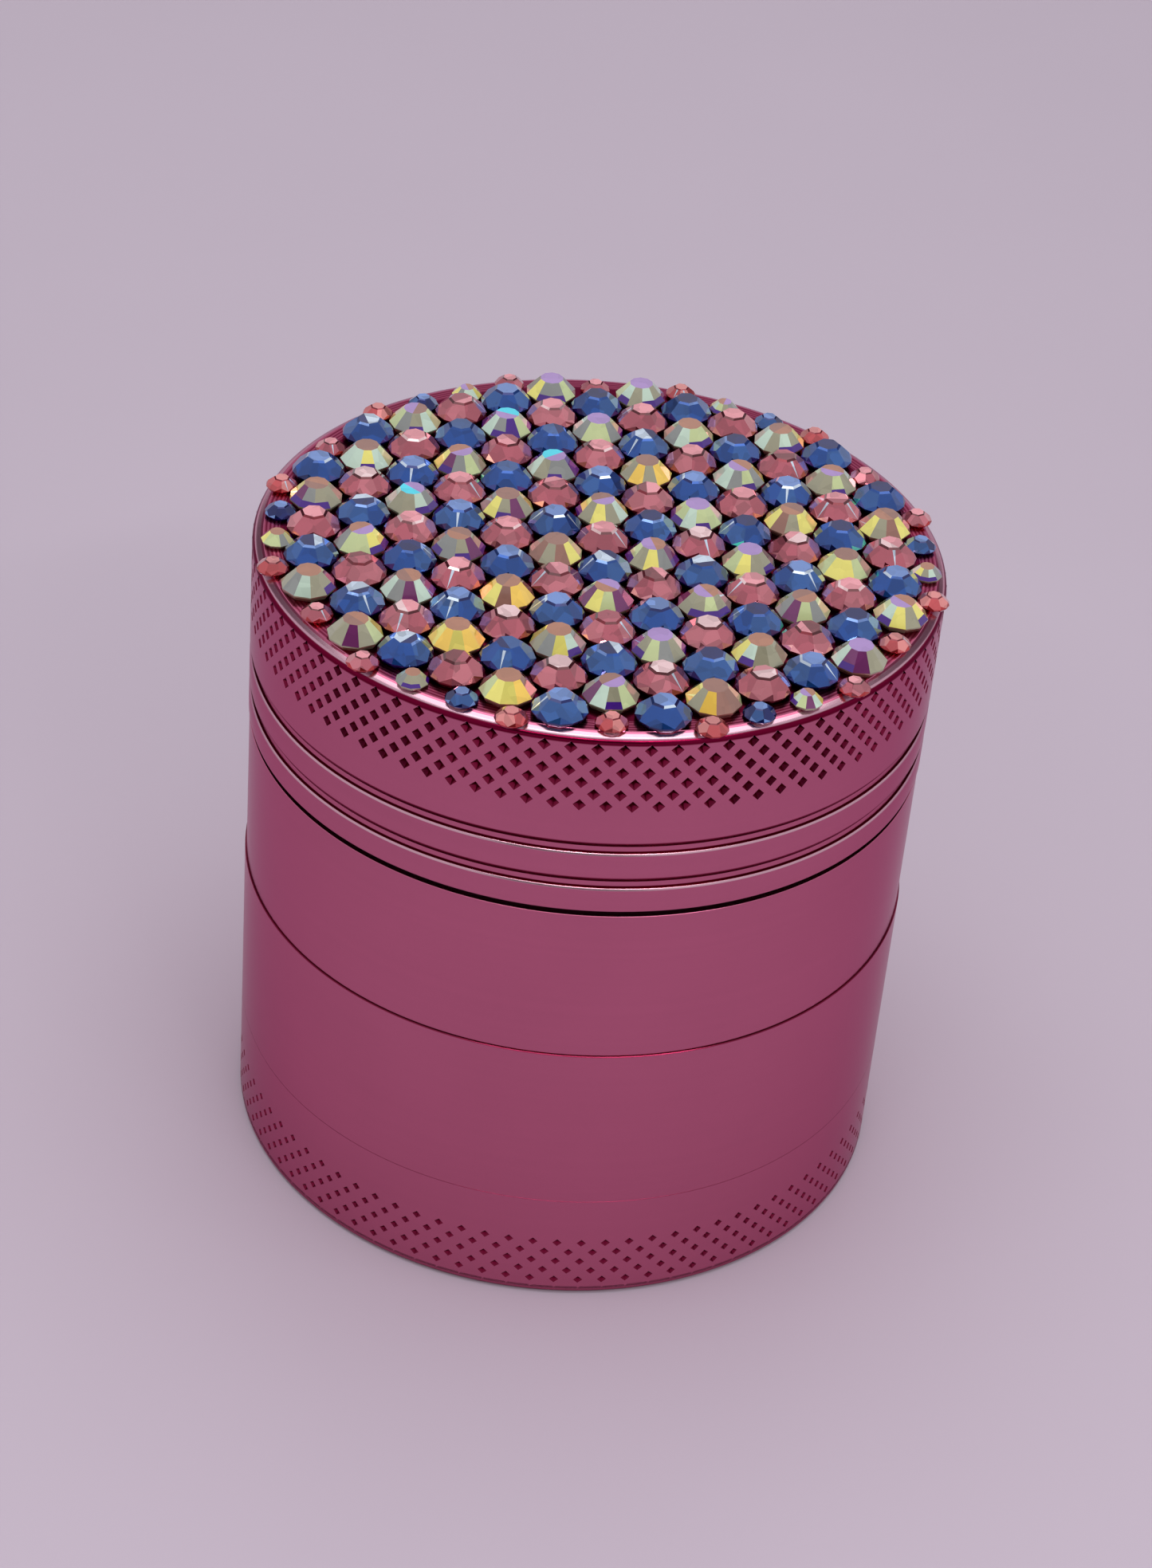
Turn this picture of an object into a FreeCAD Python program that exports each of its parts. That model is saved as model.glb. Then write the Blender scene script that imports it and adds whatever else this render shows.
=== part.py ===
import FreeCAD
import Part

import math
import os

from FreeCAD import Vector

# A herb grinder of four screwed aluminium cups with a stone-covered lid.
# Frame: the axis of the stack is Z, and it stands on z = 0. The front is towards -Y.
# From the bottom up: catcher, storage cup (screen in its floor), grinding chamber, lid.
# All lengths are millimetres and all angles degrees.

# ---- The stack ----
body_radius = 25.0            # outside of the catcher and the storage cup
chamber_setback = 0.12        # the grinding chamber's wall stands back by this
lid_setback = 0.05            # and the lid's wall by this
catcher_height = 9.1          # catcher, foot to seam
storage_height = 13.7         # storage cup, seam to seam
chamber_height = 12.35        # grinding chamber, seam to the shoulder under the lid
lid_gap = 0.36                # open line between the chamber's shoulder and the lid
lid_height = 14.5             # lid, skirt to top face

# ---- Edges on the outside ----
foot_chamfer = 0.3
seam_chamfer = 0.05           # both edges of the seam under the grinding chamber
tight_seam_chamfer = 0.01     # both edges of the catcher's seam, which hardly shows
gap_chamfer = 0.15            # the lid's edge at the open line under it
shoulder_chamfer = 0.05       # the chamber's edge at the same line
rim_bevel_width = 0.75        # bright bevel round the lid's top face
rim_bevel_drop = 0.34

# ---- Screw threads, the same on both joints ----
thread_pitch = 1.5
thread_turns = 2.0            # turns that bring a cup off
ridge_height = 0.45
ridge_root = 0.8              # axial width where the ridge leaves the wall
ridge_crest = 0.4             # axial width at its crest
ridge_sink = 0.3              # how deep a ridge is rooted in its wall
thread_clearance = 0.2        # crest to the other cup's wall
thread_runout = 0.25          # plain neck before and after the ridge
female_start = 0.5            # turns by which the female ridge starts after the male one
socket_wall = 1.8             # wall outside a female thread
socket_relief = 0.4           # socket depth beyond the neck's end
mouth_chamfer = 0.3           # lead-in at the end of a neck and the mouth of a socket

# ---- Inside ----
neck_wall = 1.4
catcher_floor = 2.2
chamber_floor = 2.6
lid_ceiling = 4.0
floor_fillet = 2.0            # the catcher's and the storage cup's bowls
tooth_fillet = 1.0            # chamber floor and lid ceiling, at the wall
spigot_height = 3.3           # the chamber's plain neck that guides the lid
spigot_clearance = 0.2        # radial, spigot in the lid's bore
lid_bore_wall = 2.15          # lid wall around the spigot
lid_bore_relief = 0.75        # lid bore above the spigot's end
lid_cavity_step = 1.4         # the lid's cavity is this much narrower than its bore

# ---- Screen in the storage cup's floor ----
screen_lip_width = 1.2        # the ledge that the screen lies against
screen_lip_rise = 1.1         # top of the ledge over the seam
screen_lip_drop = 0.3         # underside of the ledge below the seam
screen_seat_wall = 2.35       # neck wall around the screen
screen_clearance = 0.15       # radial, screen and snap ring in the neck
screen_thickness = 0.25
seat_gap = 0.02               # between faces that rest on each other but turn
snap_ring_width = 1.45
snap_ring_height = 1.0
snap_ring_opening = 14.0      # angle left open between the snap ring's ends

# ---- Teeth, hubs, drop holes and magnets ----
tooth_length = 4.2            # round the axis
tooth_width = 2.3             # across, towards the axis
tooth_flat = 0.36             # share of a tooth's length that has its full width
chamber_tooth_height = 12.0
lid_tooth_end_gap = 0.8       # lid teeth to the chamber floor
chamber_tooth_rings = ((8.6, 6), (14.6, 10))     # (radius, number of teeth)
lid_tooth_rings = ((11.6, 8), (17.6, 12))
floor_rim = 0.2               # ring of floor, inside the fillet, that belongs to the chamber's wall
drop_hole_radius = 1.6
drop_hole_rings = ((11.6, 12), (17.9, 20))       # (radius, number of holes)
hub_radius = 4.5
hub_end_drop = 1.25           # top of the chamber's hub below its shoulder
magnet_radius = 3.0
magnet_height = 3.0
magnet_gap = 0.4              # between the two magnets with the lid on
magnet_clearance = 0.1        # radial, magnet in its pocket

# ---- Friction ring between the lid and the chamber ----
ring_groove_depth = 0.6
ring_groove_width = 1.0
ring_groove_wall = 0.75       # lid wall left outside the groove
ring_side_clearance = 0.1

# ---- Lid decoration: two grooves, fine turned rings, knurling ----
groove_height = 0.88
groove_depth = 0.23
groove_slope = 0.38           # height of the sloping face that ends it above
groove_edge_chamfer = 0.1     # lower edge only
groove_rise = 2.03            # lower groove over the lid's skirt
groove_spacing = 2.92
turned_ring_pitch = 0.28
turned_ring_depth = 0.055
turned_ring_start = 14.0      # radius of the innermost ring
knurl_columns = 88            # dimples in one row, all round
knurl_row_pitch = 0.91
lid_knurl_rows = 6
lid_knurl_from_top = 1.03     # top row of dimples below the lid's top face
lid_knurl_turn = 0.27         # where the bottom row starts, from the front towards +X
lid_dimple = (0.83, 0.85, 0.32)                  # width, height, depth
catcher_knurl_rows = 5
catcher_knurl_from_foot = 1.4                    # bottom row over the foot
catcher_knurl_turn = 3.26
catcher_dimple = (0.66, 0.64, 0.20)
cutter_overrun = 0.2          # how far a cutter starts outside the wall

# ---- Stones: a hexagonal lattice in three colours ----
stone_pitch = 3.98
lattice_turn = 4.14           # the lattice's first row from the front, towards +X
lattice_origin = (0.11, -0.52)                   # where its middle stone sits
large_stone = (1.95, 1.55)                       # radius, height
small_stone = (1.15, 0.85)
stone_sides = 12
stone_table = 0.46            # table radius as a share of the stone's radius
stone_back = 0.9              # flat back, likewise
girdle_low = 0.2              # girdle's lower edge as a share of the stone's height
girdle_high = 0.27            # and its upper edge
stone_gap = 0.02              # between a small stone and the large one that it touches
rim_margin = 0.08             # large stones stay this far inside the lid's wall
small_stone_reach = 0.5       # lattice places this far outside the wall still get a small stone
stone_turn = 137.5            # each next stone is turned by this, as if set by hand
stone_colours = ("rose", "blue", "crystal")

# ---- Places that follow from the sizes above ----
lid_radius = body_radius - lid_setback
chamber_radius = body_radius - chamber_setback
catcher_seam = catcher_height
storage_seam = catcher_seam + storage_height
shoulder = storage_seam + chamber_height
lid_skirt = shoulder + lid_gap
lid_top = lid_skirt + lid_height

neck_length = thread_turns * thread_pitch + ridge_root + 2.0 * thread_runout
socket_radius = body_radius - socket_wall
neck_radius = socket_radius - ridge_height - thread_clearance
bowl_radius = neck_radius - neck_wall
socket_depth = neck_length + socket_relief

screen_seat_radius = neck_radius - screen_seat_wall
screen_radius = screen_seat_radius - screen_clearance
screen_top = catcher_seam - screen_lip_drop - seat_gap
screen_bottom = screen_top - screen_thickness

chamber_floor_top = storage_seam + chamber_floor
chamber_floor_radius = bowl_radius - tooth_fillet - floor_rim
lid_bore = lid_radius - lid_bore_wall
spigot_radius = lid_bore - spigot_clearance
spigot_top = shoulder + spigot_height
lid_bore_top = spigot_top + lid_bore_relief
lid_cavity_radius = lid_bore - lid_cavity_step
ceiling = lid_top - lid_ceiling
chamber_hub_top = shoulder - hub_end_drop
lid_hub_end = chamber_hub_top + magnet_gap
lid_tooth_end = chamber_floor_top + lid_tooth_end_gap

AXIS = Vector(0, 0, 1)
CENTRE = Vector(0, 0, 0)


# ---- Helpers ----
def at(radius, angle, height=0.0):
    """A point at this radius, this angle from +X and this height."""
    turn = math.radians(angle)
    return Vector(radius * math.cos(turn), radius * math.sin(turn), height)


def turned(outline):
    """A solid turned on the lathe from (radius, height) points. A point (radius, height, "fillet", size)
    is a corner rounded to that size, between a run along one axis and a run along the other."""
    edges = []
    start = None
    last = None
    points = [_corner(outline, index) for index in range(len(outline))]
    for arc in points:
        if start is None:
            start = arc[0]
        else:
            edges.append(Part.makeLine(last, arc[0]))
        if len(arc) == 3:
            edges.append(Part.Arc(*arc).toShape())
        last = arc[-1]
    edges.append(Part.makeLine(last, start))
    return Part.Face(Part.Wire(edges)).revolve(CENTRE, AXIS, 360)


def _corner(outline, index):
    """One point of an outline as one vector, or as the three that draw its fillet."""
    here = outline[index]
    corner = Vector(here[0], 0, here[1])
    if len(here) == 2:
        return (corner,)
    size = here[3]
    before = outline[index - 1]
    after = outline[(index + 1) % len(outline)]
    back = (Vector(before[0], 0, before[1]) - corner).normalize()
    ahead = (Vector(after[0], 0, after[1]) - corner).normalize()
    middle = corner + (back + ahead) * (size * (1.0 - math.sqrt(0.5)))
    return corner + back * size, middle, corner + ahead * size


def ring_of(tool, radius_count, half_step=False):
    """Copies of a tool that lies on +X, spaced evenly round the axis."""
    step = 360.0 / radius_count
    first = step / 2.0 if half_step else 0.0
    return [tool.rotated(CENTRE, AXIS, first + step * index) for index in range(radius_count)]


def dimple_cutter(wall_radius, size):
    """A four-sided pyramid that points at the axis and leaves a diamond of this size in the wall."""
    width, height, depth = size
    grown = (depth + cutter_overrun) / depth
    base = wall_radius + cutter_overrun
    half_width = 0.5 * width * grown
    half_height = 0.5 * height * grown
    corners = [
        Vector(base, half_width, 0),
        Vector(base, 0, half_height),
        Vector(base, -half_width, 0),
        Vector(base, 0, -half_height),
    ]
    tip = Vector(wall_radius - depth, 0, 0)
    faces = [Part.Face(Part.makePolygon(corners + corners[:1]))]
    for index in range(4):
        side = [corners[index], corners[(index + 1) % 4], tip, corners[index]]
        faces.append(Part.Face(Part.makePolygon(side)))
    return Part.Solid(Part.Shell(faces))


def knurled(body, wall_radius, first_row, rows, first_turn, size):
    """Cuts rows of dimples round a wall. Each next row up is moved by half a column."""
    column = 360.0 / knurl_columns
    cutter = dimple_cutter(wall_radius, size)
    cutters = []
    for row in range(rows):
        lifted = cutter.translated(Vector(0, 0, first_row + row * knurl_row_pitch))
        start = -90.0 + first_turn + (row % 2) * column / 2.0
        for index in range(knurl_columns):
            cutters.append(lifted.rotated(CENTRE, AXIS, start + index * column))
    return body.cut(Part.makeCompound(cutters))


def thread_ridge(wall_radius, outward, start_height, start_turns, turns):
    """A right-handed ridge wound round a wall, to the outside or to the inside of it."""
    side = 1.0 if outward else -1.0
    root = wall_radius - side * ridge_sink
    crest = wall_radius + side * ridge_height
    slope = (ridge_root - ridge_crest) / (2.0 * ridge_height)
    half_root = 0.5 * ridge_root + slope * ridge_sink
    half_crest = 0.5 * ridge_crest
    section = Part.makePolygon([
        Vector(root, 0, -half_root),
        Vector(crest, 0, -half_crest),
        Vector(crest, 0, half_crest),
        Vector(root, 0, half_root),
        Vector(root, 0, -half_root),
    ])
    path = Part.makeHelix(thread_pitch, thread_pitch * turns, wall_radius)
    ridge = Part.Wire(path).makePipeShell([section], True, True)
    ridge.rotate(CENTRE, AXIS, 360.0 * start_turns)
    ridge.translate(Vector(0, 0, start_height + thread_pitch * start_turns))
    return ridge


def with_neck_thread(body, seam):
    """The male ridge on the neck that hangs below this seam."""
    start = seam - neck_length + thread_runout + 0.5 * ridge_root
    return body.fuse(thread_ridge(neck_radius, True, start, 0.0, thread_turns))


def with_socket_thread(body, seam):
    """The female ridge in the socket below this seam, half a pitch off the male one."""
    start = seam - neck_length + thread_runout + 0.5 * ridge_root - 0.5 * thread_pitch
    turns = thread_turns - female_start
    return body.fuse(thread_ridge(socket_radius, False, start, female_start, turns))


def socket_outline(seam, edge):
    """The wall's top at a seam and the socket down to its floor."""
    return [
        (body_radius, seam - edge),
        (body_radius - edge, seam),
        (socket_radius + mouth_chamfer, seam),
        (socket_radius, seam - mouth_chamfer),
        (socket_radius, seam - socket_depth),
        (bowl_radius, seam - socket_depth),
    ]


def neck_outline(seam, wall_radius, edge):
    """The male neck below a seam, from its end up to the wall that stands on the seam."""
    end = seam - neck_length
    return [
        (neck_radius - mouth_chamfer, end),
        (neck_radius, end + mouth_chamfer),
        (neck_radius, seam),
        (wall_radius - edge, seam),
        (wall_radius, seam + edge),
    ]


def tooth(foot, height):
    """A cutting tooth on +X: a pointed lozenge with a short full-width middle."""
    half_length = 0.5 * tooth_length
    half_flat = half_length * tooth_flat
    half_width = 0.5 * tooth_width
    outline = [
        Vector(0, -half_length, foot),
        Vector(half_width, -half_flat, foot),
        Vector(half_width, half_flat, foot),
        Vector(0, half_length, foot),
        Vector(-half_width, half_flat, foot),
        Vector(-half_width, -half_flat, foot),
        Vector(0, -half_length, foot),
    ]
    return Part.Face(Part.makePolygon(outline)).extrude(Vector(0, 0, height))


def teeth(rings, foot, height):
    """Rings of teeth, turned so that a clear lane is left along +X."""
    blank = tooth(foot, height)
    found = []
    for radius, count in rings:
        found += ring_of(blank.translated(Vector(radius, 0, 0)), count, half_step=True)
    return found


# ---- The cups ----
def catcher():
    """The knurled bottom cup, whose round-bottomed bowl catches the fine powder."""
    body = turned([
        (0, 0),
        (body_radius - foot_chamfer, 0),
        (body_radius, foot_chamfer),
        *socket_outline(catcher_seam, tight_seam_chamfer),
        (bowl_radius, catcher_floor, "fillet", floor_fillet),
        (0, catcher_floor),
    ])
    body = with_socket_thread(body, catcher_seam)
    return knurled(body, body_radius, catcher_knurl_from_foot, catcher_knurl_rows,
                   catcher_knurl_turn, catcher_dimple)


def storage_cup():
    """The plain cup that keeps the ground herb, open below to the screen."""
    lip_top = catcher_seam + screen_lip_rise
    lip_under = catcher_seam - screen_lip_drop
    lip_radius = screen_seat_radius - screen_lip_width
    body = turned([
        (screen_seat_radius, catcher_seam - neck_length),
        *neck_outline(catcher_seam, body_radius, tight_seam_chamfer),
        *socket_outline(storage_seam, seam_chamfer),
        (bowl_radius, lip_top, "fillet", min(floor_fillet, bowl_radius - lip_radius)),
        (lip_radius, lip_top),
        (lip_radius, lip_under),
        (screen_seat_radius, lip_under),
    ])
    body = with_neck_thread(body, catcher_seam)
    return with_socket_thread(body, storage_seam)


def grinding_chamber():
    """The wall of the toothed cup, with its neck below and the spigot that the lid turns round."""
    body = turned([
        (chamber_floor_radius, storage_seam),
        (bowl_radius, storage_seam),
        (bowl_radius, storage_seam - neck_length),
        *neck_outline(storage_seam, chamber_radius, seam_chamfer),
        (chamber_radius, shoulder - shoulder_chamfer),
        (chamber_radius - shoulder_chamfer, shoulder),
        (spigot_radius, shoulder),
        (spigot_radius, spigot_top - mouth_chamfer),
        (spigot_radius - mouth_chamfer, spigot_top),
        (bowl_radius, spigot_top),
        (bowl_radius, chamber_floor_top, "fillet", tooth_fillet),
        (chamber_floor_radius, chamber_floor_top),
    ])
    return with_neck_thread(body, storage_seam)


def drilled_floor():
    """The chamber's floor inside its wall, with two rings of drop holes."""
    base = Vector(0, 0, storage_seam)
    plate = Part.makeCylinder(chamber_floor_radius, chamber_floor, base)
    holes = []
    for radius, count in drop_hole_rings:
        hole = Part.makeCylinder(drop_hole_radius, chamber_floor, base + Vector(radius, 0, 0))
        holes += ring_of(hole, count)
    return plate.cut(holes)


def chamber_teeth():
    """The teeth that stand on the chamber's floor, and the hub with the magnet's pocket."""
    post = hub(chamber_floor_top, chamber_hub_top)
    post = post.cut(magnet_pocket(chamber_hub_top, -1.0))
    return Part.makeCompound([post] + teeth(chamber_tooth_rings, chamber_floor_top, chamber_tooth_height))


def lid():
    """The lid's cup: knurled band, two grooves, bevelled rim and fine turned rings on top."""
    body = turned([
        (lid_bore, lid_skirt),
        (lid_radius - gap_chamfer, lid_skirt),
        (lid_radius, lid_skirt + gap_chamfer),
        *groove_outline(lid_skirt + groove_rise),
        *groove_outline(lid_skirt + groove_rise + groove_spacing),
        (lid_radius, lid_top - rim_bevel_drop),
        (lid_radius - rim_bevel_width, lid_top),
        *turned_rings_outline(),
        (0, lid_top),
        (0, ceiling),
        (lid_cavity_radius, ceiling, "fillet", tooth_fillet),
        (lid_cavity_radius, lid_bore_top),
        (lid_bore, lid_bore_top),
    ])
    body = body.cut(ring_groove())
    lowest_row = lid_top - lid_knurl_from_top - (lid_knurl_rows - 1) * knurl_row_pitch
    return knurled(body, lid_radius, lowest_row, lid_knurl_rows, lid_knurl_turn, lid_dimple)


def lid_teeth():
    """The teeth that hang from the lid's ceiling, and the hub with the other magnet's pocket."""
    post = hub(lid_hub_end, ceiling).cut(magnet_pocket(lid_hub_end, 1.0))
    return Part.makeCompound([post] + teeth(lid_tooth_rings, lid_tooth_end, ceiling - lid_tooth_end))


def hub(low, high):
    """The round post in the middle of a toothed cup."""
    return Part.makeCylinder(hub_radius, high - low, Vector(0, 0, low))


def groove_outline(low):
    """One groove in the lid's wall, from its chamfered lower edge up to its sloping upper face."""
    return [
        (lid_radius, low - groove_edge_chamfer),
        (lid_radius - groove_edge_chamfer, low),
        (lid_radius - groove_depth, low),
        (lid_radius - groove_depth, low + groove_height - groove_slope),
        (lid_radius, low + groove_height),
    ]


def turned_rings_outline():
    """Fine V grooves that the turning tool left on the top face, from the rim inwards."""
    outer = lid_radius - rim_bevel_width - turned_ring_pitch
    count = int((outer - turned_ring_start) / turned_ring_pitch)
    points = []
    for index in range(count):
        radius = outer - index * turned_ring_pitch
        points.append((radius, lid_top))
        points.append((radius - 0.5 * turned_ring_pitch, lid_top - turned_ring_depth))
    points.append((outer - count * turned_ring_pitch, lid_top))
    return points


def magnet_pocket(face, way):
    """The hole for a magnet in the end of a hub, from its face inwards (way 1 is up, -1 is down)."""
    depth = magnet_height + seat_gap
    low = face if way > 0 else face - depth
    return Part.makeCylinder(magnet_radius + magnet_clearance, depth, Vector(0, 0, low))


def tube(outer, inner, low, height):
    """A plain ring standing on this height."""
    place = Vector(0, 0, low)
    return Part.makeCylinder(outer, height, place).cut(Part.makeCylinder(inner, height, place))


def ring_groove():
    """The groove in the lid's skirt that holds the friction ring."""
    outer = lid_radius - ring_groove_wall
    return tube(outer, outer - ring_groove_width, lid_skirt, ring_groove_depth)


# ---- Small pieces ----
def friction_ring():
    """The nylon ring that the lid turns on. It sits in the skirt's groove and on the chamber's shoulder."""
    outer = lid_radius - ring_groove_wall
    height = lid_gap + ring_groove_depth - 2.0 * seat_gap
    return tube(outer - ring_side_clearance, outer - ring_groove_width + ring_side_clearance,
                shoulder + seat_gap, height)


def magnet(low):
    """A disc magnet with this height as its lower face."""
    return Part.makeCylinder(magnet_radius, magnet_height, Vector(0, 0, low))


def screen():
    """The fine steel screen, as one thin disc."""
    return Part.makeCylinder(screen_radius, screen_thickness, Vector(0, 0, screen_bottom))


def snap_ring():
    """The open spring ring that holds the screen against its ledge."""
    low = screen_bottom - snap_ring_height
    half = math.radians(0.5 * snap_ring_opening)
    reach = 2.0 * screen_radius
    wedge = Part.Face(Part.makePolygon([
        Vector(0, 0, low),
        Vector(reach, -reach * math.tan(half), low),
        Vector(reach, reach * math.tan(half), low),
        Vector(0, 0, low),
    ])).extrude(Vector(0, 0, snap_ring_height))
    return tube(screen_radius, screen_radius - snap_ring_width, low, snap_ring_height).cut(wedge)


# ---- Stones ----
def stone(radius, height):
    """A flat-backed stone on the origin: flat back, thin girdle, tall facets and a small table."""
    rings = [
        (radius * stone_back, 0.0),
        (radius, height * girdle_low),
        (radius, height * girdle_high),
        (radius * stone_table, height),
    ]
    step = 360.0 / stone_sides
    faces = []
    for (low_radius, low), (high_radius, high) in zip(rings, rings[1:]):
        for side in range(stone_sides):
            a = at(low_radius, side * step, low)
            b = at(low_radius, (side + 1) * step, low)
            c = at(high_radius, (side + 1) * step, high)
            d = at(high_radius, side * step, high)
            faces.append(Part.Face(Part.makePolygon([a, b, c, d, a])))
    for radius_here, level in (rings[0], rings[-1]):
        loop = [at(radius_here, side * step, level) for side in range(stone_sides)]
        faces.append(Part.Face(Part.makePolygon(loop + loop[:1])))
    return Part.Solid(Part.Shell(faces))


def lattice_places():
    """(x, y, colour) of every lattice place on the lid's top, and a little beyond its wall."""
    first = at(stone_pitch, lattice_turn - 90.0)
    second = at(stone_pitch, lattice_turn - 30.0)
    reach = int(2.0 * body_radius / stone_pitch)
    places = []
    for i in range(-reach, reach + 1):
        for j in range(-reach, reach + 1):
            x = lattice_origin[0] + i * first.x + j * second.x
            y = lattice_origin[1] + i * first.y + j * second.y
            if math.hypot(x, y) < lid_radius + small_stone_reach:
                places.append((x, y, stone_colours[(i + 2 * j) % 3]))
    return places


def set_stones():
    """Stones by (size, colour): large ones on the lattice, small ones where a large one would overhang."""
    places = lattice_places()
    limit = lid_radius - large_stone[0] - rim_margin
    inner = [place for place in places if math.hypot(place[0], place[1]) <= limit]
    outer = [place for place in places if math.hypot(place[0], place[1]) > limit]
    found = {(size, colour): [] for size in ("large", "small") for colour in stone_colours}
    for number, (x, y, colour) in enumerate(inner):
        found["large", colour].append(placed_stone(large_stone, x, y, number))
    for number, (x, y, colour) in enumerate(outer):
        x, y = pushed_in(x, y, inner)
        found["small", colour].append(placed_stone(small_stone, x, y, number))
    return found


def pushed_in(x, y, inner):
    """A small stone's place, moved straight towards the axis until it meets the first large stone."""
    distance = math.hypot(x, y)
    way_x, way_y = x / distance, y / distance
    reach = large_stone[0] + small_stone[0] + stone_gap
    stop = 0.0
    for place in inner:
        along = place[0] * way_x + place[1] * way_y
        beside = place[0] * way_y - place[1] * way_x
        if abs(beside) < reach:
            stop = max(stop, along + math.sqrt(reach ** 2 - beside ** 2))
    return way_x * stop, way_y * stop


def placed_stone(size, x, y, number):
    """One stone set on the lid's top face, turned by its place in the row."""
    made = stone(*size)
    made.rotate(CENTRE, AXIS, stone_turn * number)
    made.translate(Vector(x, y, lid_top))
    return made


def save(name, shape):
    """Writes one node and says what it holds."""
    shape.exportStep(os.path.join("parts", name + ".step"))
    print(f"{name}: {len(shape.Solids)} solid(s), {len(shape.Faces)} faces, "
          f"{shape.Volume / 1000.0:.2f} cm3, valid {shape.isValid()}")


def main():
    os.makedirs("parts", exist_ok=True)
    save("catcher", catcher())
    save("storage_cup", storage_cup())
    save("screen", screen())
    save("screen_snap_ring", snap_ring())
    save("grinding_chamber", grinding_chamber())
    save("chamber_floor", drilled_floor())
    save("chamber_teeth", chamber_teeth())
    save("chamber_magnet", magnet(chamber_hub_top - magnet_height))
    save("friction_ring", friction_ring())
    save("lid", lid())
    save("lid_teeth", lid_teeth())
    save("lid_magnet", magnet(lid_hub_end))
    for (size, colour), stones in set_stones().items():
        save(f"{size}_{colour}_stones", Part.makeCompound(stones))


main()
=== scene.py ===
# %% [markdown]
# # A pocket herb grinder with a stone-covered lid
#
# Four turned aluminium cups, anodised pink, make a stack about as tall as it is wide. The lid has teeth
# inside and faceted glass stones glued all over its top. The solid model already holds every piece at its
# real size, so this lesson only has to give each piece its finish: it loads that model, makes finer meshes
# where the eye looks closely, paints them and lights them.

import math
import random

import bmesh
import bpy
from mathutils import Matrix, Vector


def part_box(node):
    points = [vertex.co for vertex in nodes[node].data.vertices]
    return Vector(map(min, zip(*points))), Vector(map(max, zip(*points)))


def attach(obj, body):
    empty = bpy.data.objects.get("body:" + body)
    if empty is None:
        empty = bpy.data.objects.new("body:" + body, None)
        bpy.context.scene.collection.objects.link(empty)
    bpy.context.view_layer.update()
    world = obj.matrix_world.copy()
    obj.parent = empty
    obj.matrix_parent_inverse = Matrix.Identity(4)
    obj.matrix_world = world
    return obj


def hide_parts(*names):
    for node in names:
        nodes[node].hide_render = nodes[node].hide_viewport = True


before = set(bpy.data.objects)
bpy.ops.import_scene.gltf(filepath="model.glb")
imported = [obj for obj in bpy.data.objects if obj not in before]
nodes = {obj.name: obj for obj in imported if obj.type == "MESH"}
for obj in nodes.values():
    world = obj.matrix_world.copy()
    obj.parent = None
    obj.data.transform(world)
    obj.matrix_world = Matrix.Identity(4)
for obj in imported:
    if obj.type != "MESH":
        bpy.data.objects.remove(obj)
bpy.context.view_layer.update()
MM = 0.001

# %% [markdown]
# ## Writing materials as sums
#
# A material is a tree of nodes, and its maths is easier to read as an expression than as a list of links.
# So a small class wraps one output socket and knows how to add, subtract and multiply. Every other node
# comes from one method, which takes the node's type, its settings and what goes into its sockets. The other
# way would be to build each tree by hand, which takes five lines for each sum and hides what is being
# worked out.


# %% A class for sums of sockets
class Value:
    """One output socket of a material, which can stand in a sum."""

    def __init__(self, finish, socket):
        self.finish = finish
        self.socket = socket

    def out(self, name):
        return Value(self.finish, self.socket.node.outputs[name])

    def _sum(self, operation, first, second):
        return self.finish.node("ShaderNodeMath", {"operation": operation}, {0: first, 1: second})

    def __add__(self, other):
        return self._sum("ADD", self, other)

    def __radd__(self, other):
        return self._sum("ADD", other, self)

    def __sub__(self, other):
        return self._sum("SUBTRACT", self, other)

    def __rsub__(self, other):
        return self._sum("SUBTRACT", other, self)

    def __mul__(self, other):
        return self._sum("MULTIPLY", self, other)

    def __rmul__(self, other):
        return self._sum("MULTIPLY", other, self)


# %% A class for one material
class Finish:
    """One material. Its shader's sockets are set by name, to a number, a colour or a Value."""

    def __init__(self, name):
        self.material = bpy.data.materials.new(name)
        self.material.use_nodes = True
        self.tree = self.material.node_tree
        self.shader = self.tree.nodes["Principled BSDF"]

    def node(self, kind, settings=None, sockets=None, output=0):
        made = self.tree.nodes.new(kind)
        for name, value in (settings or {}).items():
            setattr(made, name, value)
        for name, value in (sockets or {}).items():
            self._fill(made.inputs[name], value)
        return Value(self, made.outputs[output])

    def mix(self, factor, first, second):
        return self.node("ShaderNodeMix", {"data_type": "RGBA"}, {0: factor, 6: first, 7: second}, output=2)

    def set(self, **sockets):
        for name, value in sockets.items():
            self._fill(self.shader.inputs[name.replace("_", " ")], value)
        return self.material

    def _fill(self, socket, value):
        if isinstance(value, Value):
            self.tree.links.new(value.socket, socket)
        else:
            socket.default_value = value


# %% A first sum
trial = Finish("trial")
lighter = 1 - 0.5 * trial.node("ShaderNodeTexNoise")
print("1 - 0.5 * noise made:", [node.bl_label for node in trial.tree.nodes][2:], "out:", lighter.socket.name)
bpy.data.materials.remove(trial.material)

# %% [markdown]
# ## Gathering a mesh
#
# Every finer piece is a list of corners and faces. Turned parts are rings of corners with bands of faces
# between them, so the helper below keeps the corners in millimetres and bridges rings. Each corner also
# keeps a level of painted shade, which the paint uses later: from 0 on open metal to 1 at the bottom of a
# dimple or in a dark corner, and below 0 on an edge that gets a painted highlight. Blender's Screw
# modifier could turn a profile too, but it could not leave out a band for the knurling.


# %% A shape that is gathered step by step
COLUMNS = 88
STEPS = 2 * COLUMNS
print("dimples in one row:", COLUMNS, "corners in a turned ring:", STEPS)


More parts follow.
